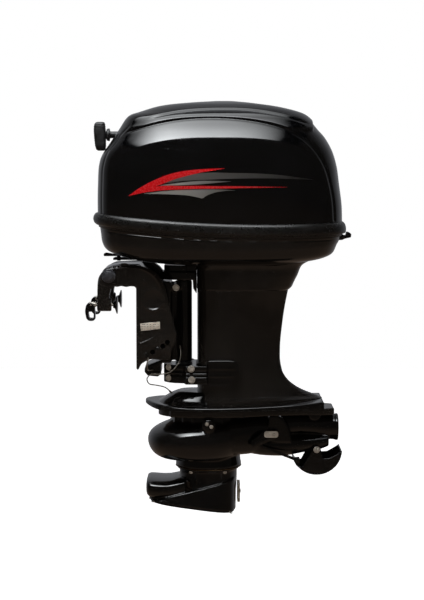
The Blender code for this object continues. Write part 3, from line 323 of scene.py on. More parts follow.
def soft_corners(outline, radius, steps=5):
    """Outline with every corner rounded as far as its sides allow."""
    made = []
    count = len(outline)
    for i in range(count):
        before, here, after = (np.array(outline[(i + k) % count], float) for k in (-1, 0, 1))
        u, v = before - here, after - here
        lu, lv = np.linalg.norm(u), np.linalg.norm(v)
        reach = min(radius, 0.45 * lu, 0.45 * lv)
        p, q = here + u / lu * reach, here + v / lv * reach
        for k in range(steps + 1):
            t = k / steps
            made.append(tuple((1 - t) ** 2 * p + 2 * t * (1 - t) * here + t ** 2 * q))
    return made


def smooth(points, steps):
    """Points on a smooth curve (or rings on a smooth surface) through the given ones."""
    data = np.array(points, float)
    flat = data.reshape(len(data), -1)
    gap = np.linalg.norm(np.diff(data, axis=0).reshape(len(data) - 1, -1, data.shape[-1]),
                         axis=2).mean(axis=1)
    t = np.concatenate([[0.0], np.cumsum(np.maximum(gap, 1e-6))])
    slope = np.gradient(flat, t, axis=0)
    made = []
    for i in range(len(data) - 1):
        h = t[i + 1] - t[i]
        for k in range(steps):
            s = k / steps
            made.append((2 * s ** 3 - 3 * s ** 2 + 1) * flat[i] + (s ** 3 - 2 * s ** 2 + s) * h * slope[i]
                        + (3 * s ** 2 - 2 * s ** 3) * flat[i + 1] + (s ** 3 - s ** 2) * h * slope[i + 1])
    made.append(flat[-1])
    return np.array(made).reshape((len(made),) + data.shape[1:])


def hex_bolt(centre, axis, out, radius, height, washer=1.3, start=0.0):
    """Hexagon head with a crowned top on a round washer; out is +1 or -1 along the axis."""
    w = 1.6 * out
    pan = [(0.0, 0.0), (radius * washer, 0.0), (radius * washer, w * 0.7), (radius * washer - 0.5, w),
           (0.0, w)]
    top = height * out
    head = [(0.0, w), (radius, w), (radius, top * 0.82), (radius * 0.88, top),
            (radius * 0.55, top + 0.2 * out),
            (0.0, top + 0.2 * out)]
    return joined(turned(pan, centre, axis, 32), turned(head, centre, axis, 6, start=start))


def tube_along(points, radius, segments=14):
    """Round cord through the points, closed at both ends."""
    path = np.array(points, float)
    tangent = np.gradient(path, axis=0)
    tangent /= np.linalg.norm(tangent, axis=1)[:, None]
    normal = np.cross(tangent[0], (0.3, 0.9, 0.31))
    rings = []
    for place, along in zip(path, tangent):
        normal = normal - along * np.dot(normal, along)
        normal /= np.linalg.norm(normal)
        across = np.cross(along, normal)
        rings.append([place + radius * (math.cos(a) * normal + math.sin(a) * across)
                      for a in (2.0 * math.pi * k / segments for k in range(segments))])
    return rows(rings)


def thread(radius, pitch, depth, lo, hi, centre, axis, segments=40):
    """Screw thread cut as a real helix."""
    rings = []
    steps = int((hi - lo) / pitch * 6)
    for i in range(steps + 1):
        h = lo + (hi - lo) * i / steps
        ring = []
        for k in range(segments):
            angle = 2.0 * math.pi * k / segments
            phase = (h / pitch + k / segments) % 1.0
            r = radius - depth * abs(2.0 * phase - 1.0)
            p, q = r * math.cos(angle), r * math.sin(angle)
            offset = {"X": (h, p, q), "Y": (q, h, p), "Z": (p, q, h)}[axis]
            ring.append(tuple(centre[i2] + offset[i2] for i2 in range(3)))
        rings.append(ring)
    return rows(rings)


# ---------------------------------------------------------------- objects
def mesh_object(name, shape):
    points, faces = shape
    mesh = bpy.data.meshes.new(name)
    mesh.from_pydata([tuple(float(c) * MM for c in p) for p in points], [], faces)
    mesh.update()
    made = bpy.data.objects.new(name, mesh)
    bpy.context.scene.collection.objects.link(made)
    return made


def settled(obj):
    """The object's modifiers become its mesh."""
    bpy.context.view_layer.update()
    graph = bpy.context.evaluated_depsgraph_get()
    mesh = bpy.data.meshes.new_from_object(obj.evaluated_get(graph), depsgraph=graph)
    obj.modifiers.clear()
    old = obj.data
    obj.data = mesh
    bpy.data.meshes.remove(old)
    return obj


def turn_out(obj):
    import bmesh
    bm = bmesh.new()
    bm.from_mesh(obj.data)
    bmesh.ops.recalc_face_normals(bm, faces=bm.faces)
    if bm.calc_volume(signed=True) < 0.0:
        bmesh.ops.reverse_faces(bm, faces=bm.faces)
    bm.to_mesh(obj.data)
    bm.free()


def cut_away(obj, shapes):
    if not shapes:
        return obj
    cutter = mesh_object(obj.name + "_cut", joined(*shapes))
    turn_out(cutter)
    step = obj.modifiers.new("cut", "BOOLEAN")
    step.operation = "DIFFERENCE"
    step.solver = "MANIFOLD"
    step.object = cutter
    settled(obj)
    bpy.data.objects.remove(cutter)
    return obj


def remeshed(obj, voxel):
    step = obj.modifiers.new("voxels", "REMESH")
    step.mode = "VOXEL"
    step.voxel_size = voxel * MM
    settled(obj)


def cast(name, solids, pockets=(), holes=(), voxel=1.4, rounds=5):
    """Casting: solids run together, edges melted round, then machined holes cut sharp."""
    obj = mesh_object(name, joined(*solids))
    turn_out(obj)
    remeshed(obj, voxel)
    if pockets:
        cut_away(obj, pockets)
        remeshed(obj, voxel)
    melt = obj.modifiers.new("melt", "SMOOTH")
    melt.factor = 0.5
    melt.iterations = rounds
    settled(obj)
    return cut_away(obj, holes)


def piece(obj_or_shape, name, material, body, *nodes, sharp=38.0, bevel=0.0):
    """Finished piece: material, shading, the body it rides on and the nodes it stands for."""
    obj = obj_or_shape
    if not isinstance(obj, bpy.types.Object):
        obj = mesh_object(name, obj)
        turn_out(obj)
    if bevel:
        step = obj.modifiers.new("edges", "BEVEL")
        step.width = bevel * MM
        step.segments = 3
        step.limit_method = "ANGLE"
        step.angle_limit = math.radians(35.0)
        step.harden_normals = True
        settled(obj)
    obj.name = name
    obj.data.materials.clear()
    obj.data.materials.append(material)
    obj.data.shade_smooth()
    if sharp:
        obj.data.set_sharp_from_angle(angle=math.radians(sharp))
    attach(obj, body)
    if nodes:
        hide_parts(*nodes)
    return obj


# ---------------------------------------------------------------- cowl surfaces
def seal_top(x):
    """Parting line of the cowls: falls aft and sags a little amidships."""
    return 179.0 - 0.036 * x - 13.0 * np.sin(np.pi * (x + 110.0) / 634.0)


def oval(front, rear, width, square, count):
    angle = 2.0 * np.pi * np.arange(count) / count
    c, s = np.cos(angle), np.sin(angle)
    size = (np.abs(c) ** square + np.abs(s) ** square) ** (-1.0 / square)
    return 0.5 * (front + rear) + 0.5 * (rear - front) * c * size, width * s * size, c * size


def flat_ring(front, rear, width, square, z, count=96):
    x, y, _ = oval(front, rear, width, square, count)
    return np.stack([x, y, np.full(count, float(z))], axis=1)


def side_ring(x, width, low, high, square, count=96):
    """Upright section across the motor at one X."""
    y, z, _ = oval(-width, width, 0.5 * (high - low), square, count)
    return np.stack([np.full(count, float(x)), y, z + 0.5 * (high + low)], axis=1)


def cowl_ring(front, front_z, width, side_z, rear, rear_z, square, count):
    x, y, end = oval(front, rear, width, square, count)
    end_z = np.where(end > 0.0, rear_z, front_z)
    return np.stack([x, y, side_z + (end_z - side_z) * np.abs(end) ** 4], axis=1)


def edge_ring(front, rear, width, square, rise, count):
    x, y, _ = oval(front, rear, width, square, count)
    return np.stack([x, y, seal_top(x) + rise], axis=1)


UPPER = [  # front X and Z, half-width and its Z, rear X and Z, squareness
    (-99.0, 215.0, 174.0, 205.0, 515.5, 200.0, 3.2),
    (-98.0, 253.0, 175.5, 252.0, 509.0, 250.0, 3.2),
    (-95.0, 300.0, 173.0, 305.0, 501.0, 303.0, 3.2),
    (-87.0, 326.0, 165.0, 350.0, 489.0, 340.0, 3.1),
    (-66.0, 358.0, 151.0, 382.0, 471.0, 371.0, 3.0),
    (-44.0, 391.0, 138.0, 402.0, 455.0, 389.0, 3.0),
    (-24.0, 420.0, 125.0, 418.0, 440.0, 407.0, 3.0),
    (6.0, 432.0, 104.0, 432.0, 425.0, 420.0, 2.9),
    (57.0, 446.0, 74.0, 446.0, 386.0, 434.0, 2.8),
    (133.0, 455.0, 38.0, 455.0, 310.0, 450.0, 2.6),
    (190.0, 458.6, 12.0, 458.8, 252.0, 457.6, 2.3),
]
LOWER = [
    (-88.0, 131.0, 168.0, 112.0, 506.0, 113.0, 3.2),
    (-85.0, 110.0, 166.0, 92.0, 501.0, 104.0, 3.2),
    (-76.0, 93.0, 158.0, 75.0, 492.0, 84.0, 3.1),
    (-58.0, 84.0, 142.0, 64.0, 476.0, 74.0, 3.0),
    (-32.0, 80.0, 116.0, 58.0, 440.0, 65.0, 2.9),
    (31.0, 70.0, 92.0, 54.5, 418.0, 59.5, 2.8),
    (120.0, 56.5, 66.0, 52.0, 404.0, 57.0, 2.8),
]
SHOULDER = [(-40.0, 372.0), (-6.0, 386.0), (14.0, 391.0), (84.0, 407.0), (178.0, 415.5), (256.0, 412.0),
            (315.0, 403.0), (374.0, 385.0), (412.0, 364.5), (443.0, 334.0), (467.0, 295.0), (478.0, 262.0),
            (488.0, 215.0), (492.0, 165.0)]
CROWN = [(16.0, 409.0), (99.0, 427.0), (198.0, 435.0), (296.0, 431.0), (375.0, 414.0), (432.0, 396.0)]
FRONT_LINE = [(-84.0, 165.0), (-83.0, 253.0), (-80.0, 298.0), (-70.0, 330.0), (-50.0, 358.0), (-28.0, 384.0),
              (-12.0, 398.0)]
BODY_LINE = [(30.0, 338.0), (90.0, 336.0), (160.0, 333.0), (220.0, 327.0), (300.0, 312.0)]


def distance_to(path, x, z):
    """Distance in side view to a path, above counted positive, and how far along it the nearest point is."""
    line = smooth(path, 8)
    best = np.full(x.shape, 1e9)
    sign = np.ones(x.shape)
    share = np.zeros(x.shape)
    for i in range(len(line) - 1):
        ax, az = line[i]
        dx, dz = line[i + 1] - line[i]
        length = dx * dx + dz * dz
        t = np.clip(((x - ax) * dx + (z - az) * dz) / length, 0.0, 1.0)
        far = np.hypot(x - ax - t * dx, z - az - t * dz)
        closer = far < best
        best = np.where(closer, far, best)
        sign = np.where(closer, np.sign(dx * (z - az) - dz * (x - ax)), sign)
        share = np.where(closer, (i + t) / (len(line) - 1), share)
    return best * sign, share


def step_up(value, start, end):
    t = np.clip((value - start) / (end - start), 0.0, 1.0)
    return t * t * (3.0 - 2.0 * t)


def grid_normals(grid):
    """Outward unit normals of a grid of rings."""
    along = np.gradient(grid, axis=0)
    around = np.roll(grid, -1, axis=1) - np.roll(grid, 1, axis=1)
    normal = np.cross(around, along)
    normal /= np.maximum(np.linalg.norm(normal, axis=2), 1e-9)[:, :, None]
    outward = grid - grid.mean(axis=(0, 1))
    return normal * np.sign((normal * outward).sum(axis=2).mean())


COWL_COUNT = 560


def upper_cowl_grid():
    rings = [edge_ring(-99.0, 517.0, 171.0, 3.2, 0.3, COWL_COUNT)]
    rings += [cowl_ring(*row, COWL_COUNT) for row in UPPER]
    grid = smooth(rings, 14)
    x, z = grid[:, :, 0], grid[:, :, 2]
    normal = grid_normals(grid)
    far, _ = distance_to(SHOULDER, x, z)
    aft = step_up(x, -30.0, -6.0)
    push = -2.6 * np.exp(-(far / 2.6) ** 2) * aft
    cap = step_up(far, 1.0, 6.0) * aft
    push += (1.6 + 3.4 * step_up(x, 300.0, 425.0)) * cap * (1.0 - step_up(x, 436.0, 440.0)) * step_up(z,
            380.0, 392.0)
    far, share = distance_to(CROWN, x, z)
    ends = step_up(share, 0.02, 0.10) * (1.0 - step_up(share, 0.9, 1.0))
    push += -1.5 * np.exp(-(far / 2.4) ** 2) * ends + 1.1 * step_up(far, 1.0, 5.0) * ends
    far, _ = distance_to(FRONT_LINE, x, z)
    push += -1.3 * np.exp(-(far / 2.4) ** 2) * (z > 150.0) * (1.0 - step_up(x, -20.0, -8.0))
    far, share = distance_to(BODY_LINE, x, z)
    ends = step_up(share, 0.0, 0.25) * (1.0 - step_up(share, 0.6, 1.0))
    push += 1.5 * np.exp(-(np.minimum(far, 0.0) / 18.0) ** 2) * np.exp(-(np.maximum(far,
            0.0) / 3.4) ** 2) * ends
    return grid + normal * push[:, :, None]


def build_upper_cowl():
    grid = upper_cowl_grid()
    peak = float(grid[-1, :, 2].mean())
    obj = mesh_object("cowl_shell", rows([list(ring) for ring in grid] + [[(221.0, 0.0, peak + 0.4)]]))
    turn_out(obj)
    inner = (grid - grid_normals(grid) * 3.6)[::4, ::4]
    mouth = inner[0] + (0.0, 0.0, -40.0)
    cut_away(obj, [rows([list(mouth)] + [list(ring) for ring in inner] + [[(221.0, 0.0, peak - 3.4)]])])
    cut_away(obj, [rod(8.9, -46.0, 32.0, (GUIDE_X - 8.0, 0.0, ROPE_Z), "X", 48)])
    return piece(obj, "cowl_shell", GLOSS, "upper_cowl", "upper_cowl", sharp=50.0)


def laid_on(tree, outline_low, outline_high, side, lift, steps=48, across=6):
    """Thin skin between two side-view edges, laid on the cowl's outside on one side."""
    low = smooth(outline_low, 16)
    high = smooth(outline_high, 16)

    def at(line, share):
        gaps = np.concatenate([[0.0], np.cumsum(np.linalg.norm(np.diff(line, axis=0), axis=1))])
        return [np.interp(share * gaps[-1], gaps, line[:, k]) for k in range(2)]
    rings = []
    for i in range(steps + 1):
        (x0, z0), (x1, z1) = at(low, i / steps), at(high, i / steps)
        ring = []
        for k in range(across + 1):
            t = k / across
            x, z = x0 + (x1 - x0) * t, z0 + (z1 - z0) * t
            hit, normal, _, _ = tree.ray_cast(Vector((x, side * 400.0, z)) * MM, Vector((0.0, -side, 0.0)))
            if hit is None:
                hit, normal = Vector((x, side * 170.0, z)) * MM, Vector((0.0, side, 0.0))
            ring.append(tuple((hit + normal * lift * MM) / MM))
        rings.append(ring)
    points = [p for ring in rings for p in ring]
    faces = []
    for i in range(steps):
        for k in range(across):
            a = i * (across + 1) + k
            faces.append((a, a + 1, a + across + 2, a + across + 1))
    if side > 0.0:
        faces = [tuple(reversed(face)) for face in faces]
    return points, faces


def build_decals(cowl):
    """Plain tapering streaks in red, grey and silver."""
    tree = BVHTree.FromObject(cowl, bpy.context.evaluated_depsgraph_get())
    red = fading_decal("decal_red", (0.62, 0.010, 0.014), (0.34, 0.006, 0.008), 150.0, 380.0, 0.0, 0.22)
    grey = fading_decal("decal_grey", (0.115, 0.112, 0.108), (0.006, 0.006, 0.006), 150.0, 440.0, 0.35, 0.30)
    light = fading_decal("decal_silver", (0.40, 0.39, 0.375), (0.030, 0.030, 0.030), 110.0, 262.0, 0.45, 0.28)
    streaks = [
        ("red_blade", red, [(-15.0, 226.0), (18.0, 240.0), (53.5, 249.5), (97.0, 266.0), (157.0, 281.5),
                            (219.0, 292.5)],
         [(-15.0, 226.2), (15.0, 246.5), (49.0, 264.5), (97.0, 282.0), (145.0, 289.5), (219.0, 293.2)], 0.5),
        ("red_streak", red, [(-14.0, 226.0), (24.0, 234.2), (72.0, 240.0), (121.0, 242.6), (217.0, 244.2),
                             (372.0, 247.2)],
         [(-14.0, 226.3), (14.0, 238.5), (53.0, 249.0), (120.0, 250.4), (217.0, 250.2), (372.0, 247.9)],
         0.62),
        ("grey_streak", grey, [(74.0, 256.8), (120.0, 262.8), (157.0, 264.5), (240.0, 267.8), (340.0, 268.4),
                               (437.0, 265.0)],
         [(74.0, 257.2), (120.0, 273.8), (157.0, 280.8), (240.0, 281.8), (340.0, 278.0), (437.0, 265.6)],
         0.38),
        ("silver_streak", light, [(64.0, 251.4), (110.0, 252.2), (160.0, 254.6), (235.0, 261.0)],
         [(64.0, 251.8), (110.0, 258.0), (160.0, 262.6), (235.0, 261.6)], 0.44),
        ("silver_wedge", light, [(24.0, 231.6), (85.0, 230.0), (133.0, 227.0), (158.0, 222.0),
                                 (166.0, 220.2), (173.0, 225.4), (190.0, 232.6), (217.0, 237.8),
                                 (245.0, 239.4)],
         [(24.0, 232.2), (85.0, 238.8), (133.0, 241.0), (158.0, 241.6), (166.0, 241.8), (173.0, 241.9),
          (190.0, 241.9),
          (217.0, 241.6), (245.0, 240.2)], 0.38),
    ]
    for side, tag in SIDES:
        for name, ink, low, high, lift in streaks:
            obj = mesh_object(name, laid_on(tree, low, high, side, lift))
            film = obj.modifiers.new("film", "SOLIDIFY")
            film.thickness = 0.15 * MM
            film.offset = -1.0
            settled(obj)
            turn_out(obj)
            piece(obj, tag + "_" + name, ink, "upper_cowl", sharp=60.0)


def build_band():
    """Rubber-edged band round the parting line, with a bead on top and a groove under it."""
    count = 480
    profile = [(-84.0, 503.0, 159.0, 0.2), (-98.0, 514.0, 168.6, 0.2), (-101.0, 517.0, 171.2, 0.0),
               (-103.6, 519.6, 173.4, -1.2), (-105.8, 521.8, 175.3, -3.2), (-107.6, 523.7, 176.8, -5.8),
               (-109.0, 525.2, 177.9, -8.8), (-110.0, 526.3, 178.7, -12.2), (-110.4, 526.9, 179.0, -16.0),
               (-109.6, 527.0, 179.0, -20.4), (-107.6, 526.7, 178.6, -24.6),
               (-103.0, 524.6, 176.8, -28.6), (-99.5, 521.0, 174.2, -29.8),
               (-97.6, 518.4, 172.8, -30.2), (-97.0, 518.0, 172.4, -31.6), (-96.6, 517.6, 172.2, -34.0),
               (-95.4, 516.4, 171.4, -35.0), (-84.0, 503.0, 159.0, -35.0)]
    rings = [edge_ring(a, b, w, 3.2, rise, count) for a, b, w, rise in profile]
    piece(rows([list(r) for r in rings], loop=True), "cowl_band", SEAL, "engine_unit", "cowl_seal",
          sharp=42.0)


def build_lower_cowl():
    count = 480
    rings = [edge_ring(-90.0, 510.0, 169.0, 3.2, -35.3, count)] + [cowl_ring(*row, count) for row in LOWER]
    grid = smooth(rings, 12)
    x, z = grid[:, :, 0], grid[:, :, 2]
    below = seal_top(x) - 35.0 - z
    normal = grid_normals(grid)
    push = -1.6 * np.exp(-((below - 6.5) / 1.8) ** 2) * step_up(x, -70.0,
            -55.0) * (1.0 - step_up(x, 470.0, 490.0))
    grid = grid + normal * push[:, :, None]
    points, faces = rows([list(r) for r in grid])
    faces = [face for face in faces if len(face) < 5]
    obj = mesh_object("cowl_pan", (points, faces))
    wall = obj.modifiers.new("wall", "SOLIDIFY")
    wall.thickness = 3.2 * MM
    wall.offset = -1.0
    settled(obj)
    turn_out(obj)
    piece(obj, "cowl_pan", PAN, "engine_unit", "lower_cowl", sharp=45.0)
    lug = soft_corners([(500.0, 112.0), (518.0, 112.0), (525.5, 116.0), (525.5, 124.5), (517.0, 126.0),
                        (500.0, 124.0)], 4.0)
    piece(joined(*[prism(lug, "XZ", *sorted((side * 17.8, side * 25.8))) for side, _ in SIDES],
                 rod(2.8, -30.0, 30.0, (LATCH_X, 0.0, LATCH_Z), "Y", 24, 0.6)),
          "latch_lugs", PAN, "engine_unit", bevel=0.8)


def build_latch():
    lever = soft_corners([(515.8, 116.8), (518.6, 113.4), (541.0, 118.5), (541.8, 127.0), (535.5, 132.0),
                          (530.0, 132.0), (529.0, 124.0), (522.0, 122.6), (517.2, 121.4)], 1.8)
    piece(prism(lever, "XZ", -16.8, 16.8), "latch_lever", DARK, "cowl_latch", "cowl_latch_lever", bevel=1.2)


def build_grip_and_rope():
    profile = [(409.5, -99.0, -87.5, 8.5), (408.0, -104.0, -83.0, 12.5), (403.0, -107.5, -81.4, 15.8),
               (392.0, -109.0, -80.2, 17.4), (377.0, -108.6, -79.2, 18.0), (359.0, -107.0, -79.4, 17.6),
               (346.5, -105.2, -79.6, 16.8), (339.6, -102.6, -80.6, 14.0), (336.9, -98.0, -84.0, 9.0)]
    rings = []
    for z, x0, x1, half in smooth(profile, 6):
        ridge = 0.45 * math.sin((z - 336.0) * 2.0 * math.pi / 6.0) if 344.0 < z < 404.0 else 0.0
        ring = rounded(x0 - ridge, x1 + ridge, -half - ridge, half + ridge, 7.0 if half > 10 else 5.0, 8)
        rings.append([(x, y, z) for x, y in ring])
    grip = mesh_object("grip", rows(rings))
    turn_out(grip)
    cut_away(grip, [rod(2.6, -24.0, 1.0, (-78.0, 0.0, ROPE_Z), "X", 24)])
    piece(grip, "pull_grip", RUBBER, "starter_grip", "starter_grip", sharp=50.0)
    neck = [(2.5, 0.0), (7.6, 0.0), (6.6, 3.0), (5.6, 7.0), (5.2, 11.0), (4.6, 12.0), (2.5, 12.0)]
    piece(turned(neck, (-79.6, 0.0, ROPE_Z), "X", 40, loop=True), "grip_neck", RUBBER, "starter_grip")
    guide = [(8.6, 16.0), (8.6, -6.0), (15.5, -7.5), (16.0, -10.0), (14.6, -14.5), (9.0, -16.6), (4.6, -16.2),
             (3.4, -14.0), (3.0, -8.0), (3.0, 0.0), (6.4, 8.0), (6.4, 16.0)]
    piece(turned(guide, (GUIDE_X - 10.0, 0.0, ROPE_Z), "X", 56, loop=True), "rope_eye", PLASTIC,
          "upper_cowl", "rope_guide")
    tail = np.array([(-101.0, 0.0, ROPE_Z), (-90.0, 0.0, ROPE_Z), (-70.0, 0.0, ROPE_Z), (-60.0, 0.0, ROPE_Z)])
    rope = mesh_object("rope_out", braided(smooth(tail, 40), 2.1))
    turn_out(rope)
    dress(rope, "rope_out", ROPE, "rope_tail")
    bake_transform(rope)
    inside = smooth([(-59.0, 0.0, ROPE_Z), (-46.0, 2.2, ROPE_Z), (-20.0, 10.0, ROPE_Z), (20.0, 21.5, ROPE_Z),
                     (90.0, 41.5, ROPE_Z), (DRIVE_X - 16.0, 62.5, ROPE_Z)], 40)
    rope = mesh_object("rope_in", braided(inside, 2.1))
    turn_out(rope)
    dress(rope, "rope_in", ROPE, "starter_rope")
    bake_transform(rope)


def dress(obj, name, material, *nodes):
    """Material and shading for a piece that bends between two bodies."""
    obj.name = name
    obj.data.materials.append(material)
    obj.data.shade_smooth()
    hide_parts(*nodes)


def braided(path, radius, segments=16):
    """Rope with a braid: two crossing helical ripples on its surface."""
    path = np.array(path, float)
    gaps = np.concatenate([[0.0], np.cumsum(np.linalg.norm(np.diff(path, axis=0), axis=1))])
    tangent = np.gradient(path, axis=0)
    tangent /= np.linalg.norm(tangent, axis=1)[:, None]
    normal = np.cross(tangent[0], (0.1, 0.2, 0.97))
    rings = []
    for place, along, gap in zip(path, tangent, gaps):
        normal = normal - along * np.dot(normal, along)
        normal /= np.linalg.norm(normal)
        across = np.cross(along, normal)
        ring = []
        for k in range(segments):
            a = 2.0 * math.pi * k / segments
            ripple = 0.10 * radius * math.sin(4 * a + gap * 2.2) * math.sin(4 * a - gap * 2.2)
            ring.append(place + (radius + ripple) * (math.cos(a) * normal + math.sin(a) * across))
        rings.append(ring)
    return rows(rings)


ROPE = surface("rope_black", (0.012, 0.012, 0.013), (0.035, 0.034, 0.033), (0.62, 0.80), mottle=500.0,
               grain=2500.0, bump=0.5)


# ---------------------------------------------------------------- transom bracket
def clamp_bracket(side, tag):
    """Cast plate with a hooked arch, dished round pocket, stepped ledges and ribbed windows."""
    def span(a, b):
        return tuple(sorted((side * a, side * b)))

    def slab(outline, a, b, radius=0.0):
        return prism(soft_corners(outline, radius) if radius else outline, "XZ", *span(a, b))
    top = [(-96.0, -34.0), (-96.0, -6.0), (-91.8, 24.6), (-80.3, 39.8), (-62.6, 50.0), (-37.3, 52.5)]
    fore = [(-55.0, 0.5), (-62.5, -6.0), (-66.0, -20.0), (-67.0, -34.0), (-68.0, -58.5), (-72.0, -60.0),
            (-93.0, -60.0), (-97.0, -57.0)]
    back = [(15.5, 50.5), (34.0, 43.0), (51.1, 32.1), (61.5, 19.5), (68.9, 6.7), (76.0, -18.0), (83.9, -49.1)]
    seat = [(-4.0, 0.4), (-14.0, 1.0), (-24.0, -1.0), (-36.0, 1.6), (-46.0, -0.6)]
    plate = smooth(top + back + [(101.4, -120.5)], 4).tolist()
    plate += soft_corners([(101.0, -130.0), (96.4, -140.8), (90.0, -154.0), (88.0, -163.3), (86.1, -181.9),
                           (68.4, -184.4), (37.8, -181.0), (24.5, -186.0), (12.0, -194.0), (5.5, -208.0),
                           (0.6, -208.0)], 4.0)
    plate += [(0.4, -150.0), (0.4, -4.0)] + seat + fore
    arch = smooth(top, 4).tolist() + [(9.0, 51.8), (9.0, 0.4)] + seat + fore
    solids = [slab(plate, PLATE_IN + 0.5, PLATE_OUT - 2.6), slab(arch, 71.5, PLATE_OUT - 0.8),
              slab([(0.4, -205.0), (8.0, -199.0), (8.0, 3.0), (0.4, 3.0)], 60.5, PLATE_OUT - 2.0),
              turned([(16.0, -97.0), (16.4, -92.0), (16.4, -64.0), (15.0, -61.8)],
                     (0.0, side * SCREW_Y, SCREW_Z), "X", 48)]
    # raised rim down the free edge, and the two sweeping ledges
    rim = smooth([(-30.0, 51.0), (15.0, 49.0), (50.0, 30.5), (67.5, 5.0), (82.0, -50.0), (99.5, -121.0)], 8)
    rim = rim.tolist() + [[x - 9.5, z - 3.0] for x, z in rim[::-1]]
    solids.append(slab(rim, PLATE_OUT - 3.0, PLATE_OUT - 0.3))
    ledge = smooth([(7.0, -143.0), (30.0, -133.0), (58.0, -115.0), (84.0, -95.0)], 8).tolist()
    ledge += [[94.0, -100.0], [98.0, -122.0], [88.0, -152.0], [86.0, -170.0]]
    ledge += smooth([(70.0, -160.0), (58.0, -170.0), (30.0, -178.0), (7.0, -183.0)], 6).tolist()
    solids.append(slab(ledge, PLATE_OUT - 3.0, PLATE_OUT - 0.9))
    band = smooth([(14.0, -151.0), (46.0, -142.0), (70.0, -128.0), (91.0, -112.0)], 8).tolist()
    band += smooth([(90.0, -117.0), (68.0, -133.0), (45.0, -147.0), (14.0, -156.0)], 8).tolist()
    solids.append(slab(band, PLATE_OUT - 2.0, PLATE_OUT - 0.1))
    ring = turned([(29.0, 0.0), (29.0, 0.8), (26.5, 2.1), (24.5, 0.8), (24.5, 0.0)],
                  (42.0, side * (PLATE_OUT - 2.6), -33.0),
                  "Y", 72, loop=True)
    if side < 0.0:
        ring = ([(x, 2.0 * side * (PLATE_OUT - 2.6) - y, z) for x, y, z in ring[0]], ring[1])
    solids.append(ring)
    solids += [slab([(x - 1.6, 4.0), (x + 1.6, 4.0), (x + 1.6, 47.0), (x - 1.6, 47.0)], 90.0, PLATE_OUT - 0.4)
               for x in (-43.0, -26.0)]
    solids.append(turned([(5.5, 0.0), (5.5, side * 2.2), (4.0, side * 3.0), (0.0, side * 3.0)],
                         (22.0, side * (PLATE_OUT - 3.2), 12.0), "Y", 32))
    pockets = [turned([(0.0, 0.0), (17.0, 0.0), (22.0, side * 1.5), (25.0, side * 4.0), (25.0, side * 12.0),
                       (0.0, side * 12.0)], (42.0, side * (PLATE_OUT - 6.5), -33.0), "Y", 72)]
    for x0, x1, z0 in ((-56.0, -45.5, 9.0), (-40.5, -28.5, 8.0), (-23.5, -2.5, 12.0)):
        window = [(x, z) for x, z in rounded(x0, x1, z0, 43.5, 3.5, 5)]
        pockets.append(slab(window, PLATE_OUT - 8.5, PLATE_OUT + 4.0))
    pockets.append(slab(rounded(20.0, 76.0, -116.0, -66.0, 5.0), PLATE_OUT - 3.4, PLATE_OUT + 4.0))
    used = TRIM_HOLES[TRIM_USED_HOLE]
    holes = [rod(4.2, *(sorted((side * (PLATE_OUT - 7.0), side * 118.0)) if (x, z) != used else (-118.0,
            118.0)),
                 (x, 0.0, z), "Y", 28) for x, z in TRIM_HOLES]
    holes += [rod(6.2, *sorted((side * (PLATE_OUT - 4.4), side * 120.0)), (x, 0.0, z), "Y", 28)
              for x, z in TRIM_HOLES]
    holes += [rod(5.3, -130.0, 130.0, (LOWER_BOLT[0], 0.0, LOWER_BOLT[1]), "Y", 28),
              rod(11.3, -130.0, 130.0, (TILT_X, 0.0, TILT_Z), "Y", 40),
              rod(5.4, -120.0, -40.0, (0.0, side * SCREW_Y, SCREW_Z), "X", 32)]
    made = cast(tag + "_bracket_casting", solids, (), (), 1.35, 3)
    path = smooth([(-96.5, -20.0), (-96.0, -6.0)] + top[2:] + back, 6)
    along = np.gradient(path, axis=0)
    across = np.stack([-along[:, 1], along[:, 0]], axis=1) / np.linalg.norm(along, axis=1)[:, None]
    cut_away(made, [rows([[(x + nx * h, side * y, z + nz * h) for h, y in
                           ((5.0, PLATE_OUT + 5.0), (5.0, PLATE_OUT - 13.0), (-13.0, PLATE_OUT + 5.0))]
                          for (x, z), (nx, nz) in zip(path, across)])])
    for hollow in pockets + holes:
        cut_away(made, [hollow])
    # Black discs sunk in the counterbores of the open trim holes: painted shade standing in for the dark
    # inside the bores.
    bore_shade_discs = [rod(6.1, *sorted((side * (PLATE_OUT - 4.6), side * (PLATE_OUT - 3.4))), (x, 0.0, z), "Y", 28)
             for x, z in TRIM_HOLES if (x, z) != used]
    piece(joined(*bore_shade_discs), tag + "_trim_bore_shade_discs", SHADE, "transom_bracket", sharp=40.0)
    piece(made, tag + "_bracket_casting", PAINT, "transom_bracket", tag + "_clamp_bracket", sharp=45.0)


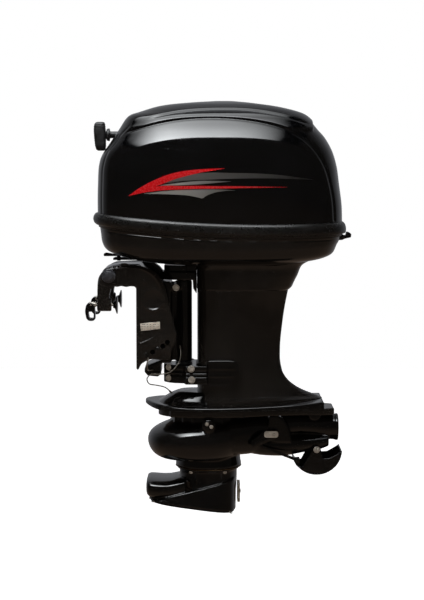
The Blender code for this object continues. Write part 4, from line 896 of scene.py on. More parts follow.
def clamp_screw(side, tag):
    y = side * SCREW_Y
    centre = (0.0, y, SCREW_Z)
    head = [(0.0, -118.0), (5.2, -118.0), (6.8, -116.6), (7.2, -112.0), (6.8, -105.0), (6.0, -101.0),
            (4.6, -100.0), (0.0, -100.0)]
    tip = [(0.0, -63.5), (4.6, -63.5), (4.6, -62.0), (3.6, -60.5), (3.6, -53.0), (3.0, -52.0), (0.0, -52.0)]
    screw = joined(turned(head, centre, "X", 48), thread(4.9, 2.5, 0.75, -101.0, -62.5, centre, "X", 40),
                   turned(tip, centre, "X", 40), rod(2.3, -13.4, 13.4, (-112.0, y, SCREW_Z), "Y", 24, 0.8))
    piece(screw, tag + "_screw_thread", STEEL, tag + "_screw", tag + "_clamp_screw", sharp=42.0)
    pad = [(0.0, -50.6), (3.9, -50.8), (4.2, -56.6), (5.2, -57.8), (8.0, -57.4), (9.0, -55.6), (9.8, -53.4),
           (14.0, -51.8), (21.4, -49.4), (23.0, -47.9), (22.6, -46.7), (21.6, -46.4), (18.0, -46.9),
           (6.0, -47.3), (0.0, -47.4)]
    piece(turned(pad, centre, "X", 72), tag + "_pad_disc", DARK, tag + "_pad", tag + "_clamp_pad", sharp=50.0)
    outer = soft_corners([(-117.5, -40.0), (-109.0, -41.0), (-104.0, -46.0), (-101.8, -66.0), (-101.8, -82.0),
                          (-107.0, -86.0), (-118.0, -86.0), (-124.0, -80.0), (-127.5, -62.0),
                          (-124.5, -46.0)], 6.0)
    handle = cast(tag + "_handle_loop", [prism(outer, "XZ", y - 12.4, y + 12.4)],
                  [prism(soft_corners([(-119.2, -63.0), (-105.5, -63.0), (-105.8, -79.5), (-116.6, -79.5)],
                                      3.0),
                         "XZ", y - 20.0, y + 20.0)],
                  [prism([(-121.8, -20.0), (-99.0, -20.0), (-99.0, -58.0), (-121.8, -58.0)], "XZ", y - 8.4,
                         y + 8.4)],
                  0.8, 5)
    piece(handle, tag + "_handle_loop", DARK, tag + "_handle", tag + "_clamp_handle", sharp=50.0)


def rating_label():
    """Blank-ruled plate on the port bracket, set a little crooked."""
    corners = [(10.3, -92.0), (59.4, -87.0), (59.8, -105.5), (12.2, -110.5)]
    outline = soft_corners(corners, 1.5)
    piece(prism(outline, "XZ", -PLATE_OUT + 1.6, -PLATE_OUT + 2.35), "rating_label", label_material(),
          "transom_bracket", sharp=30.0, bevel=0.1)


def build_transom_bracket():
    for side, tag in SIDES:
        clamp_bracket(side, tag)
        clamp_screw(side, tag)
        nut = [(0.0, 113.8), (10.6, 113.8), (12.0, 112.8), (12.6, 108.3), (16.6, 108.0), (17.3, 107.4),
               (17.3, 106.3),
               (16.5, 105.5), (11.4, 105.5), (11.4, 112.6), (0.0, 112.6)]
        piece(turned([(r, side * h) for r, h in nut], (TILT_X, 0.0, TILT_Z), "Y", 64),
              tag + "_pivot_cap", CAP, "transom_bracket", tag + "_tilt_nut", sharp=40.0)
    rating_label()
    piece(turned([(10.9, -111.4), (10.4, -112.2), (7.4, -112.2), (7.0, -111.4), (7.0, 111.4), (7.4, 112.2),
                  (10.4, 112.2),
                  (10.9, 111.4)], (TILT_X, 0.0, TILT_Z), "Y", 56, loop=True),
          "tilt_spindle", BARE, "transom_bracket", "tilt_tube")
    x, z = LOWER_BOLT
    bolt = joined(rod(4.9, -112.0, 112.0, (x, 0.0, z), "Y", 40),
                  hex_bolt((x, -105.5, z), "Y", -1.0, 5.5, 6.4, 1.3),
                  hex_bolt((x, 105.5, z), "Y", 1.0, 5.5, 6.4, 1.3))
    piece(bolt, "tie_bolt", DARK, "transom_bracket", "lower_tie_bolt", sharp=35.0)
    x, z = TRIM_HOLES[TRIM_USED_HOLE]
    pin = [(0.0, -115.6), (5.6, -115.6), (7.2, -114.4), (7.2, -107.4), (6.2, -105.9), (3.95, -105.7),
           (3.95, 109.0),
           (2.6, 112.6), (0.0, 112.9)]
    piece(turned(pin, (x, 0.0, z), "Y", 40), "trim_rod", DARK, "trim_pin", "trim_pin", sharp=40.0)


TRIM_USED_HOLE = 1
CAP = surface("cap_grey", (0.030, 0.031, 0.036), (0.052, 0.053, 0.060), (0.30, 0.42), mottle=90.0,
              grain=900.0, bump=0.08)


# ---------------------------------------------------------------- swivel bracket
def build_swivel():
    web = [(-80.0, 41.0), (-62.0, 50.0), (-40.0, 53.0), (6.0, 53.0), (28.0, 34.0), (44.0, 10.0), (86.0, 9.0),
           (86.0, -196.5), (60.5, -197.5), (60.5, -226.0), (52.0, -232.0), (26.0, -229.0),
           (18.0, -219.0), (20.0, -206.0), (44.0, -196.0), (66.0, -188.0), (66.0, -140.0), (48.0, -70.0),
           (22.0, -20.0), (12.0, 4.0), (-66.0, 4.0), (-86.0, 18.0)]
    hollow = [(-24.0, 14.0), (-4.0, 40.0), (4.0, 40.0), (30.0, 2.0), (76.0, -4.0), (76.0, -180.0),
              (70.0, -180.0), (60.0, -70.0), (32.0, -14.0), (16.0, 14.0)]
    solids = [prism(web, "XZ", -56.6, 56.6), rod(19.8, -70.0, 70.0, (TILT_X, 0.0, TILT_Z), "Y", 64),
              rod(20.6, -198.6, 9.2, (STEER_X, 0.0, 0.0), "Z", 64),
              block(80.0, 108.0, -14.6, 14.6, -194.6, 5.6)]
    solids.append(rod(11.0, -56.6, -15.0, (98.5, 0.0, -6.0), "Y", 48, 1.5))
    pockets = [prism(hollow, "XZ", -48.6, 90.0)]
    holes = [rod(11.4, -130.0, 130.0, (TILT_X, 0.0, TILT_Z), "Y", 48),
             rod(17.4, -260.0, 60.0, (STEER_X, 0.0, 0.0), "Z", 48),
             rod(2.7, -70.0, -40.0, (LOCK_X, 0.0, LOCK_Z), "Y", 24)]
    made = cast("swivel_casting", solids, pockets, (), 1.9, 4)
    for hole in holes:
        cut_away(made, [hole])
    piece(made, "swivel_casting", DARK, "swivel", "swivel_bracket", sharp=45.0)
    piece(hex_bolt((98.5, -56.4, -6.0), "Y", -1.0, 6.4, 5.4, 1.35), "upper_mount_bolt", STEEL, "swivel",
          sharp=35.0)
    profile = [(15.4, -168.0), (16.9, -168.0), (16.9, -199.2), (21.4, -199.3), (21.9, -199.8), (21.9, -201.6),
               (21.4, -202.0), (15.4, -202.0)]
    piece(turned(profile, (STEER_X, 0.0, 0.0), "Z", 64, loop=True), "swivel_sleeve", PLASTIC, "swivel",
          "swivel_bush")
    lever = soft_corners([(LOCK_X + 6.0, LOCK_Z - 6.0), (LOCK_X + 6.0, LOCK_Z + 6.0), (-28.0, 56.0),
                          (-40.0, 55.0),
                          (-41.0, 49.0), (-30.0, 47.0), (LOCK_X - 8.0, LOCK_Z - 7.0)], 3.5)
    lock = joined(prism(lever, "XZ", -62.2, -58.0), hex_bolt((LOCK_X, -62.0, LOCK_Z), "Y", -1.0, 4.2, 3.6,
            1.3),
                  rod(2.4, -59.0, -50.8, (LOCK_X, 0.0, LOCK_Z), "Y", 24))
    piece(lock, "tilt_lock", DULL, "tilt_lock", "tilt_lock_lever", bevel=0.5)


# ---------------------------------------------------------------- steering and mounts
def build_steering():
    shaft = [(12.0, -245.5), (14.4, -245.8), (14.9, -245.2), (14.9, 45.0), (14.4, 45.8), (12.0, 45.8)]
    piece(turned(shaft, (STEER_X, 0.0, 0.0), "Z", 64, loop=True), "steering_tube", BARE, "engine_unit",
          "steering_shaft")
    yoke = [(62.0, -34.0), (80.0, -52.0), (118.0, -62.0), (147.0, -62.0), (147.0, 62.0), (118.0, 62.0),
            (80.0, 52.0), (62.0, 34.0)]
    arm = [(66.0, 15.0), (66.0, 33.0), (56.0, 45.0), (22.0, 68.3), (-56.0, 68.3), (-62.0, 66.0),
           (-62.0, 61.0),
           (16.0, 61.0), (46.0, 36.0), (50.0, 15.0)]
    mount = [(68.0, -28.0), (80.0, -46.0), (112.0, -55.6), (124.6, -55.6), (124.6, 55.6), (112.0, 55.6),
             (80.0, 46.0),
             (68.0, 28.0)]
    nose = [(139.5, 20.0), (141.5, -10.0), (150.2, -24.0), (150.2, 20.0)]
    made = cast("steering_casting", [prism(yoke, "XY", 13.2, 33.6), prism(arm, "XZ", -16.8, 16.8),
                                     prism(mount, "XY", 30.0, 49.6),
                                     block(118.0, 150.2, -48.0, 48.0, 13.2, 49.6),
                                     prism(nose, "XZ", -32.0, 32.0)], (), (), 1.3, 6)
    cut_away(made, [rod(15.2, 0.0, 60.0, (STEER_X, 0.0, 0.0), "Z", 48)])
    cut_away(made, [rod(5.2, 40.0, 80.0, (FRICTION_X, 0.0, 0.0), "Z", 32)])
    piece(made, "steering_casting", DARK, "engine_unit", "steering_arm", sharp=45.0)
    lever = soft_corners([(-86.0, 71.0), (-83.0, 70.2), (-40.0, 70.6), (-40.0, 74.3), (-62.0, 76.4),
                          (-80.0, 79.2), (-86.0, 77.0)], 2.0)
    piece(joined(prism(lever, "XZ", -7.7, 7.7), rod(4.8, 58.6, 72.0, (FRICTION_X, 0.0, 0.0), "Z", 32)),
          "friction_handle", DARK, "friction_lever", "friction_lever", bevel=1.2)
    piece(hex_bolt((FRICTION_X, 0.0, 74.2), "Z", 1.0, 4.6, 3.6, 1.4), "friction_nut", STEEL,
          "friction_lever", sharp=35.0)
    half = [(66.0, 12.0), (70.0, 22.0), (80.0, 36.0), (94.0, 46.5), (118.0, 52.0), (122.0, 74.6),
            (177.6, 74.6),
            (177.6, 67.2), (149.8, 60.2)]
    whole = half + mirrored(half)
    waist = [(x * 0.985 + 1.6, y * 0.93) for x, y in whole]
    solids = [prism(whole, "XY", -216.0, -203.2), prism(whole, "XY", -249.6, -231.0),
              prism(waist, "XY", -232.0, -214.0),
              prism(whole, "XY", -226.5, -221.0)]
    made = cast("mount_casting", solids, (), (), 1.6, 4)
    cut_away(made, [rod(15.3, -260.0, -190.0, (STEER_X, 0.0, 0.0), "Z", 48)])
    piece(made, "mount_casting", DARK, "engine_unit", "lower_mount_yoke", sharp=45.0)
    for side, tag in SIDES:
        cover = soft_corners([(178.4, -249.0), (178.4, -190.0), (180.0, -188.0), (236.0, -187.5),
                              (250.0, -190.0),
                              (256.5, -200.0), (258.0, -222.0), (254.0, -242.0), (240.0, -253.0),
                              (180.0, -253.0)], 7.0)
        edge = [(x * 0.955 + 9.4, z * 0.945 - 12.1) for x, z in cover]
        slabs = [prism(cover, "XZ", *sorted((side * 67.6, side * 74.6))),
                 prism(edge, "XZ", *sorted((side * 70.0, side * 76.6)))]
        ribs = [prism([(184.0, z - 1.5), (246.0, z - 1.5), (246.0, z + 1.5), (184.0, z + 1.5)], "XZ",
                      *sorted((side * 72.0, side * 77.6))) for z in (-209.0, -228.0)]
        slabs += ribs
        made = cast(tag + "_cover", slabs, (), (), 1.1, 5)
        piece(made, tag + "_cover", DARK, "engine_unit", tag + "_mount_cover", sharp=50.0)
        for index, (x, z) in enumerate(((136.5, -199.5), (138.0, -237.5))):
            piece(hex_bolt((x, side * 74.2, z if index else -209.6), "Y", side, 6.8, 5.6, 1.3),
                  "%s_mount_bolt_%d" % (tag, index), STEEL, "engine_unit", sharp=35.0)
        for index, z in enumerate((-209.6, -237.5)):
            piece(hex_bolt((80.6, side * 35.6, z), "Y", side, 6.8, 4.2, 1.3),
                  "%s_clamp_bolt_%d" % (tag, index), STEEL,
                  "engine_unit", sharp=35.0)


# ---------------------------------------------------------------- casings
def teardrop(front, rear, width, tail, count=26):
    points = []
    nose = front + width * 0.95
    for k in range(count):
        angle = 2.0 * math.pi * k / count
        c, s = math.cos(angle), math.sin(angle)
        size = (abs(c) ** 2.6 + abs(s) ** 2.6) ** (-1.0 / 2.6)
        c, s = c * size, s * size
        if c < 0.0:
            points.append((nose + (nose - front) * c, width * s))
        else:
            points.append((nose + (rear - nose) * c, s * (width + (tail - width) * c ** 1.6)))
    return points


HOUSING = [(-14.3, 383.0, 63.0, 30.0), (-55.0, 375.0, 62.0, 22.0), (-107.0, 367.7, 62.0, 20.0),
           (-165.0, 362.8, 63.0, 20.0), (-205.0, 364.5, 65.0, 22.0), (-230.0, 372.0, 66.0, 24.0),
           (-252.0, 390.0, 66.0, 26.0), (-270.0, 418.0, 66.0, 30.0), (-285.0, 456.0, 68.0, 36.0),
           (-291.5, 470.5, 78.0, 44.0), (-296.0, 471.0, 78.0, 44.0), (-305.7, 471.0, 78.0, 44.0)]


def housing_section(front, rear, width, tail, z, count=220):
    """Nose round, a soft vertical edge, long flat flank, then a tapering tail."""
    return [(x, y, z) for x, y in teardrop(front, rear, width, tail, count)]


def build_casings():
    rings = []
    for z, front, rear, width, square in [(50.2, 128.0, 434.0, 79.0, 3.0), (42.0, 147.0, 417.0, 75.6, 3.2),
                                          (22.0, 150.5, 405.0, 75.0, 3.4), (4.0, 150.6, 396.0, 74.6, 3.4),
                                          (-6.0, 150.5, 391.0, 74.0, 3.4), (-11.0, 150.8, 386.0, 73.6, 3.4),
                                          (-13.4, 152.0, 382.0, 72.0, 3.4)]:
        rings.append(flat_ring(front, rear, width, square, z, 240))
    grid = smooth(rings, 8)
    grid[:, :, 2] += 8.0 * step_up(grid[:, :, 0], 340.0, 432.0) * step_up(grid[:, :, 2], 24.0, 50.0)
    floor = flat_ring(160.0, 360.0, 52.0, 3.4, -13.4, 240)
    roof = flat_ring(160.0, 360.0, 52.0, 3.4, 50.2, 240)
    piece(rows([list(r) for r in grid[::-1]] + [list(floor), list(roof)][::-1], loop=True), "apron_skin",
          PAINT,
          "engine_unit", "apron", sharp=38.0)
    rings = [housing_section(151.5, rear, width, tail, z) for z, rear, width, tail in HOUSING]
    grid = np.concatenate([smooth(rings[:9], 10)[:-1], smooth(rings[8:10], 6)[:-1], np.array(rings[9:])])
    low = [(x, y, -305.7) for x, y in teardrop(160.5, 352.0, 50.0, 13.0, 220)]
    high = [(x, y, -14.3) for x, y in teardrop(160.5, 352.0, 50.0, 13.0, 220)]
    made = mesh_object("midsection", rows([list(r) for r in grid] + [low, high], loop=True))
    turn_out(made)
    piece(made, "midsection", PAINT, "engine_unit", "driveshaft_housing", sharp=40.0)
    outline = [(19.0, 0.0), (21.0, 20.0), (30.0, 42.0), (52.0, 78.0), (84.0, 104.0), (130.0, 117.0),
               (200.0, 120.0),
               (330.0, 112.0), (440.0, 96.0), (470.6, 84.0)]
    half = smooth(outline, 8).tolist()
    whole = half + mirrored(half)[:-1]

    def level(scale, drop):
        ring = []
        for x, y in whole:
            x, y = 230.0 + (x - 230.0) * scale, y * scale
            rise = 6.0e-4 * (x - 170.0) ** 2 * (0.75 if x < 170.0 else 0.23)
            ring.append((x, y, -304.4 + rise - drop))
        return ring
    low = [(x, y, -311.6 + 0.0048 * max(0.0, 62.0 - x) ** 2) for x, y in whole]
    rings = [[(230.0 + (x - 230.0) * 0.985, y * 0.98, z - 1.1) for x, y, z in low], low,
             level(1.0, 3.0), level(0.997, 1.2), level(0.989, 0.2)]
    rings += [level(scale, 0.0) for scale in (0.95, 0.85, 0.7, 0.5, 0.3, 0.1)]
    hump = [flat_ring(a, b, w, 2.6, z, 96) for a, b, w, z in
            [(40.0, 200.0, 92.0, -308.0), (44.0, 200.0, 86.0, -303.0), (58.0, 200.0, 74.0, -296.0),
             (74.0, 200.0, 65.0, -286.0), (90.0, 200.0, 57.0, -277.6), (102.0, 196.0, 51.0, -273.4)]]
    grown = [housing_section(151.5 - 0.45, rear + 0.45, width + 0.7, tail + 0.45, z + 0.45, 120)
             for z, rear, width, tail in HOUSING[:-1]] + [housing_section(151.0, 471.5, 78.7, 44.5, -306.5,
                     120)]
    bore = prism(teardrop(160.5, 352.0, 50.0, 13.0, 120), "XY", -330.0, -260.0)
    for name, shape, nodes in (("adapter_casting", rows(rings), ("adapter_plate",)),
                               ("adapter_hump", rows([list(r) for r in smooth(hump, 6)]), ())):
        made = mesh_object(name, shape)
        turn_out(made)
        cut_away(made, [rows(grown)])
        cut_away(made, [bore])
        piece(made, name, DARK, "engine_unit", *nodes, sharp=42.0)


# ---------------------------------------------------------------- jet pump
def build_pump():
    outline = [(53.0, 0.0), (55.0, 40.0), (80.0, 74.0), (120.0, 92.0), (180.0, 98.0), (250.0, 90.0),
               (330.0, 66.0),
               (420.0, 52.0), (490.0, 46.0), (499.6, 40.0)]
    half = smooth(outline, 6).tolist()
    whole = half + mirrored(half)[:-1]
    solids = [prism(whole, "XY", -330.7, -313.7),
              turned([(0.0, -351.6), (29.6, -351.6), (31.0, -348.0), (33.8, -340.0), (33.8, -328.0),
                      (0.0, -328.0)],
                     (DRIVE_X, 0.0, 0.0), "Z", 64)]
    for side, _ in SIDES:
        for x, y, radius in ((92.0, 78.0, 9.0), (132.0, 91.0, 8.0), (262.0, 84.0, 8.5), (352.0, 58.0, 8.0)):
            solids.append(rod(radius, -330.7, -313.8, (x, side * y, 0.0), "Z", 40))
    made = cast("carrier_casting", solids, (), (), 1.9, 3)
    cut_away(made, [rod(8.5, -400.0, -300.0, (DRIVE_X, 0.0, 0.0), "Z", 40)])
    piece(made, "carrier_casting", PAINT, "engine_unit", "pump_carrier", sharp=45.0)

    bulge = [flat_ring(front, front + 2.0 * radius, width, 2.1, z, 160)
             for z, front, radius, width in [(-331.2, 86.0, 85.0, 79.0), (-345.0, 84.0, 87.0, 81.0),
                                             (-352.0, 76.0, 93.0, 88.0),
                                             (-358.0, 62.0, 102.0, 98.0), (-366.0, 46.0, 111.0, 108.0),
                                             (-376.0, 33.0, 118.0, 115.0), (-388.0, 26.0, 122.0, 119.0),
                                             (-400.0, 24.8, 122.3, 119.4), (-412.0, 27.0, 120.4, 117.4),
                                             (-424.0, 33.0, 115.0, 112.0), (-434.0, 42.0, 107.0, 104.0),
                                             (-441.0, 54.0, 96.0, 96.0)]]
    bulge = rows([list(r) for r in smooth(bulge, 4)])
    collar = turned([(0.0, -465.0), (83.6, -465.0), (83.9, -460.0), (82.0, -450.0), (80.0, -430.0),
                     (0.0, -430.0)],
                    (DRIVE_X, 0.0, 0.0), "Z", 96)
    duct = []
    for x, z_top, z_low, width in [(170.0, -340.0, -438.0, 96.0), (250.0, -340.0, -436.0, 78.0),
                                   (300.0, -338.0, -432.0, 58.0), (345.0, -336.5, -418.0, 44.0),
                                   (372.0, -335.8, -402.0, 33.0), (507.0, -335.5, -400.5, 32.5)]:
        duct.append(side_ring(x, width, z_low, z_top, 3.2 if x < 310.0 else 2.2, 96))
    duct = rows([list(r) for r in smooth(duct, 6)])
    lip = turned([(0.0, 504.0), (33.6, 504.0), (34.5, 505.5), (34.5, 510.8), (33.6, 512.0), (0.0, 512.0)],
                 (0.0, 0.0, JET_Z), "X", 72)
    belly = []
    for x, low, width in [(262.0, -428.0, 44.0), (285.0, -434.0, 48.0), (310.0, -438.5, 49.0),
                          (345.0, -441.0, 49.4),
                          (374.0, -440.6, 49.4), (398.0, -436.5, 49.0), (420.0, -432.0, 48.0),
                          (444.0, -427.6, 46.0),
                          (468.0, -423.0, 42.0), (486.6, -416.0, 38.0)]:
        belly.append(side_ring(x, width, low, -384.0, 2.7, 80))
    belly = rows([list(r) for r in smooth(belly, 4)])
    solids = [bulge, collar, duct, lip, belly]
    # fin that sweeps down from the flange to the root of the outlet, on both sides
    fin = smooth([(345.0, -332.0), (359.0, -333.5), (372.0, -344.0), (384.0, -365.0), (389.5, -389.0)],
                 8).tolist()
    fin += [[389.5, -400.0], [340.0, -400.0], [330.0, -360.0], [334.0, -333.0]]
    pad = [(450.0 + 16.0 * math.cos(a),
            -331.4 + 14.0 * math.sin(a)) for a in (math.pi * (1.0 + k / 24.0) for k in range(25))]
    for side, _ in SIDES:
        solids.append(prism(fin, "XZ", *sorted((side * 20.0, side * 50.0))))
        solids.append(prism(pad, "XZ", *sorted((side * 20.0, side * 43.0))))
        solids.append(rod(16.8, side * 88.0, side * 111.0, (DRIVE_X + 1.0, 0.0, -349.5), "Y", 56, 3.0))
        for x in (96.0, 118.0, 141.0, 214.0):
            y = 0.97 * math.sqrt(max(0.0, 1.0 - ((x - DRIVE_X + 8.0) / 92.0) ** 2)) * 86.0
            solids.append(prism([(x - 3.0, -331.2), (x + 3.0, -331.2), (x + 3.0, -372.0), (x - 3.0, -372.0)],
                                "XZ",
                                *sorted((side * (y - 34.0), side * y))))
    solids.append(rod(9.0, -70.0, -25.0, (CRANK_X, 0.0, CRANK_Z), "Y", 40))
    made = cast("volute_casting", solids, (), (), 1.95, 5)
    room = [flat_ring(front, front + 2.0 * radius, width, 2.1, z, 64)
            for z, front, radius, width in [(-358.0, 84.0, 80.0, 78.0), (-385.0, 40.0, 108.0, 105.0),
                                            (-418.0, 42.0, 106.0, 102.0), (-432.0, 62.0, 88.0, 86.0)]]
    bore = [side_ring(x, w, JET_Z + dz - h, JET_Z + dz + h, 2.3, 64)
            for x, w, h, dz in [(200.0, 70.0, 42.0, -19.0), (300.0, 50.0, 36.0, -12.0),
                                (372.0, 26.0, 26.0, 0.0),
                                (530.0, 26.0, 26.0, 0.0)]]
    for cutter in (rows([list(r) for r in room]), rod(72.0, -480.0, -420.0, (DRIVE_X, 0.0, 0.0), "Z", 80),
                   rows([list(r) for r in bore]), rod(60.0, -365.0, -325.0, (DRIVE_X, 0.0, 0.0), "Z", 80),
                   rod(5.1, -80.0, 80.0, (GATE_X, 0.0, GATE_Z), "Y", 32)):
        cut_away(made, [cutter])
    piece(made, "volute_casting", DARK, "engine_unit", "volute_housing", sharp=45.0)
    for side, tag in SIDES:
        for index, (x, z) in enumerate(((176.0, -343.6), (187.5, -350.5))):
            piece(hex_bolt((x, side * 110.0, z), "Y", side, 3.9, 3.6, 1.25, start=0.4 * index),
                  "%s_cap_bolt_%d" % (tag, index),
                  STEEL, "engine_unit", sharp=35.0)
        for index, (x, z) in enumerate(((136.0, -468.0), (221.0, -467.5))):
            piece(hex_bolt((x, side * (math.sqrt(75.0 ** 2 - (x - DRIVE_X) ** 2) - 0.6), z - 6.6), "Y", side,
                           4.0, 4.2, 1.25),
                  "%s_neck_bolt_%d" % (tag, index), STEEL, "engine_unit", sharp=35.0)
    ring = turned([(81.0, -465.2), (84.2, -465.2), (84.6, -465.9), (84.2, -466.6), (81.0, -466.6)],
                  (DRIVE_X, 0.0, 0.0), "Z",
                  120, loop=True)
    piece(ring, "joint_gasket", BRONZE, "engine_unit", sharp=40.0)
    piece(turned([(71.1, -465.8), (71.1, -434.2), (70.6, -434.2), (68.6, -436.0), (68.6, -464.4),
                  (70.6, -465.8)],
                 (DRIVE_X, 0.0, 0.0), "Z", 96, loop=True), "wear_ring", STEEL, "engine_unit",
          "impeller_liner", sharp=40.0)


def build_intake():
    neck = [flat_ring(106.0, 253.0, 73.5, 2.0, -467.4, 96), flat_ring(106.0, 253.0, 73.2, 2.0, -482.0, 96),
            flat_ring(104.0, 252.6, 73.6, 2.1, -500.0, 96), flat_ring(100.0, 251.0, 76.0, 2.4, -524.0, 96)]
    flange = turned([(0.0, -467.5), (79.0, -467.5), (79.5, -468.5), (79.0, -472.4), (75.0, -473.2),
                     (0.0, -473.2)],
                    (179.5, 0.0, 0.0), "Z", 96)
    base = [(x, y, -544.6 - 0.138 * (x - 22.0)) for x, y, _ in flat_ring(22.5, 250.0, 89.6, 3.4, 0.0, 120)]
    crest = [(x, y, -545.0 + 0.248 * (x - 40.0)) for x, y, _ in flat_ring(34.0, 250.6, 84.0, 3.2, 0.0, 120)]
    tongue = []
    for x, low, high, width in [(21.8, -533.0, -496.0, 56.0), (24.5, -539.0, -491.4, 68.0),
                                (30.0, -543.5, -489.6, 75.0),
                                (42.0, -547.0, -490.0, 79.0), (60.0, -548.0, -491.4, 80.0),
                                (80.0, -548.0, -491.0, 78.0),
                                (100.0, -547.0, -487.0, 76.0), (122.0, -544.0, -482.5, 72.0)]:
        mid = (low + high) / 2.0
        ring = side_ring(x, width, low, high, 2.7, 96)
        tongue.append([(x, y,
                        z - max(0.0, z - mid) / (high - mid) * 5.0 * (1.0 - min(1.0, abs(y) / width) ** 4))
                       for x, y, z in ring])
    solids = [rows([list(r) for r in smooth(neck, 3)]), flange, rows([base, crest]),
              rows([list(r) for r in smooth(tongue, 5)])]
    for x in (150.0, 180.0, 210.0):
        for side, _ in SIDES:
            solids.append(prism([(x - 2.0, -474.0), (x + 2.0, -474.0), (x + 3.2, -516.0), (x - 3.2, -516.0)],
                                "XZ",
                                *sorted((side * 60.0, side * (74.8 - 0.0045 * (x - 180.0) ** 2)))))
    made = cast("intake_casting", solids, (), (), 1.8, 4)
    throat = [flat_ring(a, b, w, n, z, 80)
              for z, a, b, w, n in [(-460.0, 112.0, 248.0, 68.0, 2.0), (-484.0, 112.0, 246.0, 67.0, 2.0),
                                    (-500.0, 100.0, 244.0, 68.0, 2.2), (-545.0, 56.0, 240.0, 72.0, 3.0),
                                    (-600.0, 40.0, 238.0, 74.0, 3.4)]]
    cut_away(made, [rows([list(r) for r in smooth(throat, 4)])])
    piece(made, "intake_casting", DARK, "engine_unit", "intake_housing", sharp=45.0)
    ring = []
    for grow, depth in ((0.0, 0.2), (0.4, 1.0), (0.4, 4.0), (-0.4, 4.8)):
        ring.append([(x, y, -545.4 - 0.138 * (x - 22.0) - depth)
                     for x, y, _ in flat_ring(30.4 - grow, 245.6 + grow, 83.4 + grow, 3.4, 0.0, 120)])
    for grow, depth in ((0.0, 4.8), (0.4, 4.0), (0.4, 1.0), (0.0, 0.2)):
        ring.append([(x, y, -545.4 - 0.138 * (x - 22.0) - depth)
                     for x, y, _ in flat_ring(43.0, 233.0, 73.0 - grow, 4.0, 0.0, 120)])
    bars = []
    for index in range(9):
        y = -60.0 + 15.0 * index
        bar = []
        for x in (40.0, 236.0):
            z = -547.9 - 0.138 * (x - 22.0)
            bar.append([(x, y + 2.2 * math.cos(a),
                         z + 2.2 * math.sin(a)) for a in (2.0 * math.pi * k / 16 for k in range(16))])
        bars.append(rows(bar))
    piece(rows(ring, loop=True), "debris_grille", DARK, "engine_unit", "intake_grille", sharp=42.0)
    piece(joined(*bars), "grille_bars", STEEL, "engine_unit", sharp=42.0)
    for index, (x, y) in enumerate(((38.0, -52.0), (38.0, 52.0), (238.0, -60.0), (238.0, 60.0))):
        z = -545.4 - 0.138 * (x - 22.0) - 4.6
        piece(turned([(0.0, -1.6), (2.6, -1.5), (4.2, 0.2), (0.0, 0.2)], (x, y, z), "Z", 24),
              "grille_screw_%d" % index,
              STEEL, "engine_unit", sharp=40.0)
    plate = [(y, z) for y, z in rounded(-29.6, 29.6, -559.6, -510.4, 8.0, 8)]
    piece(prism(plate, "YZ", 253.6, 260.6), "anode_block", ZINC, "engine_unit", "anode", bevel=1.6)
    piece(hex_bolt((260.2, 0.0, -535.0), "X", 1.0, 4.2, 2.6, 1.3), "anode_bolt", STEEL, "engine_unit",
          sharp=35.0)


def arc(radius, first, last, steps):
    points = []
    for k in range(steps + 1):
        angle = math.radians(first + (last - first) * k / steps)
        points.append((GATE_X + radius * math.cos(angle), GATE_Z + radius * math.sin(angle)))
    return points


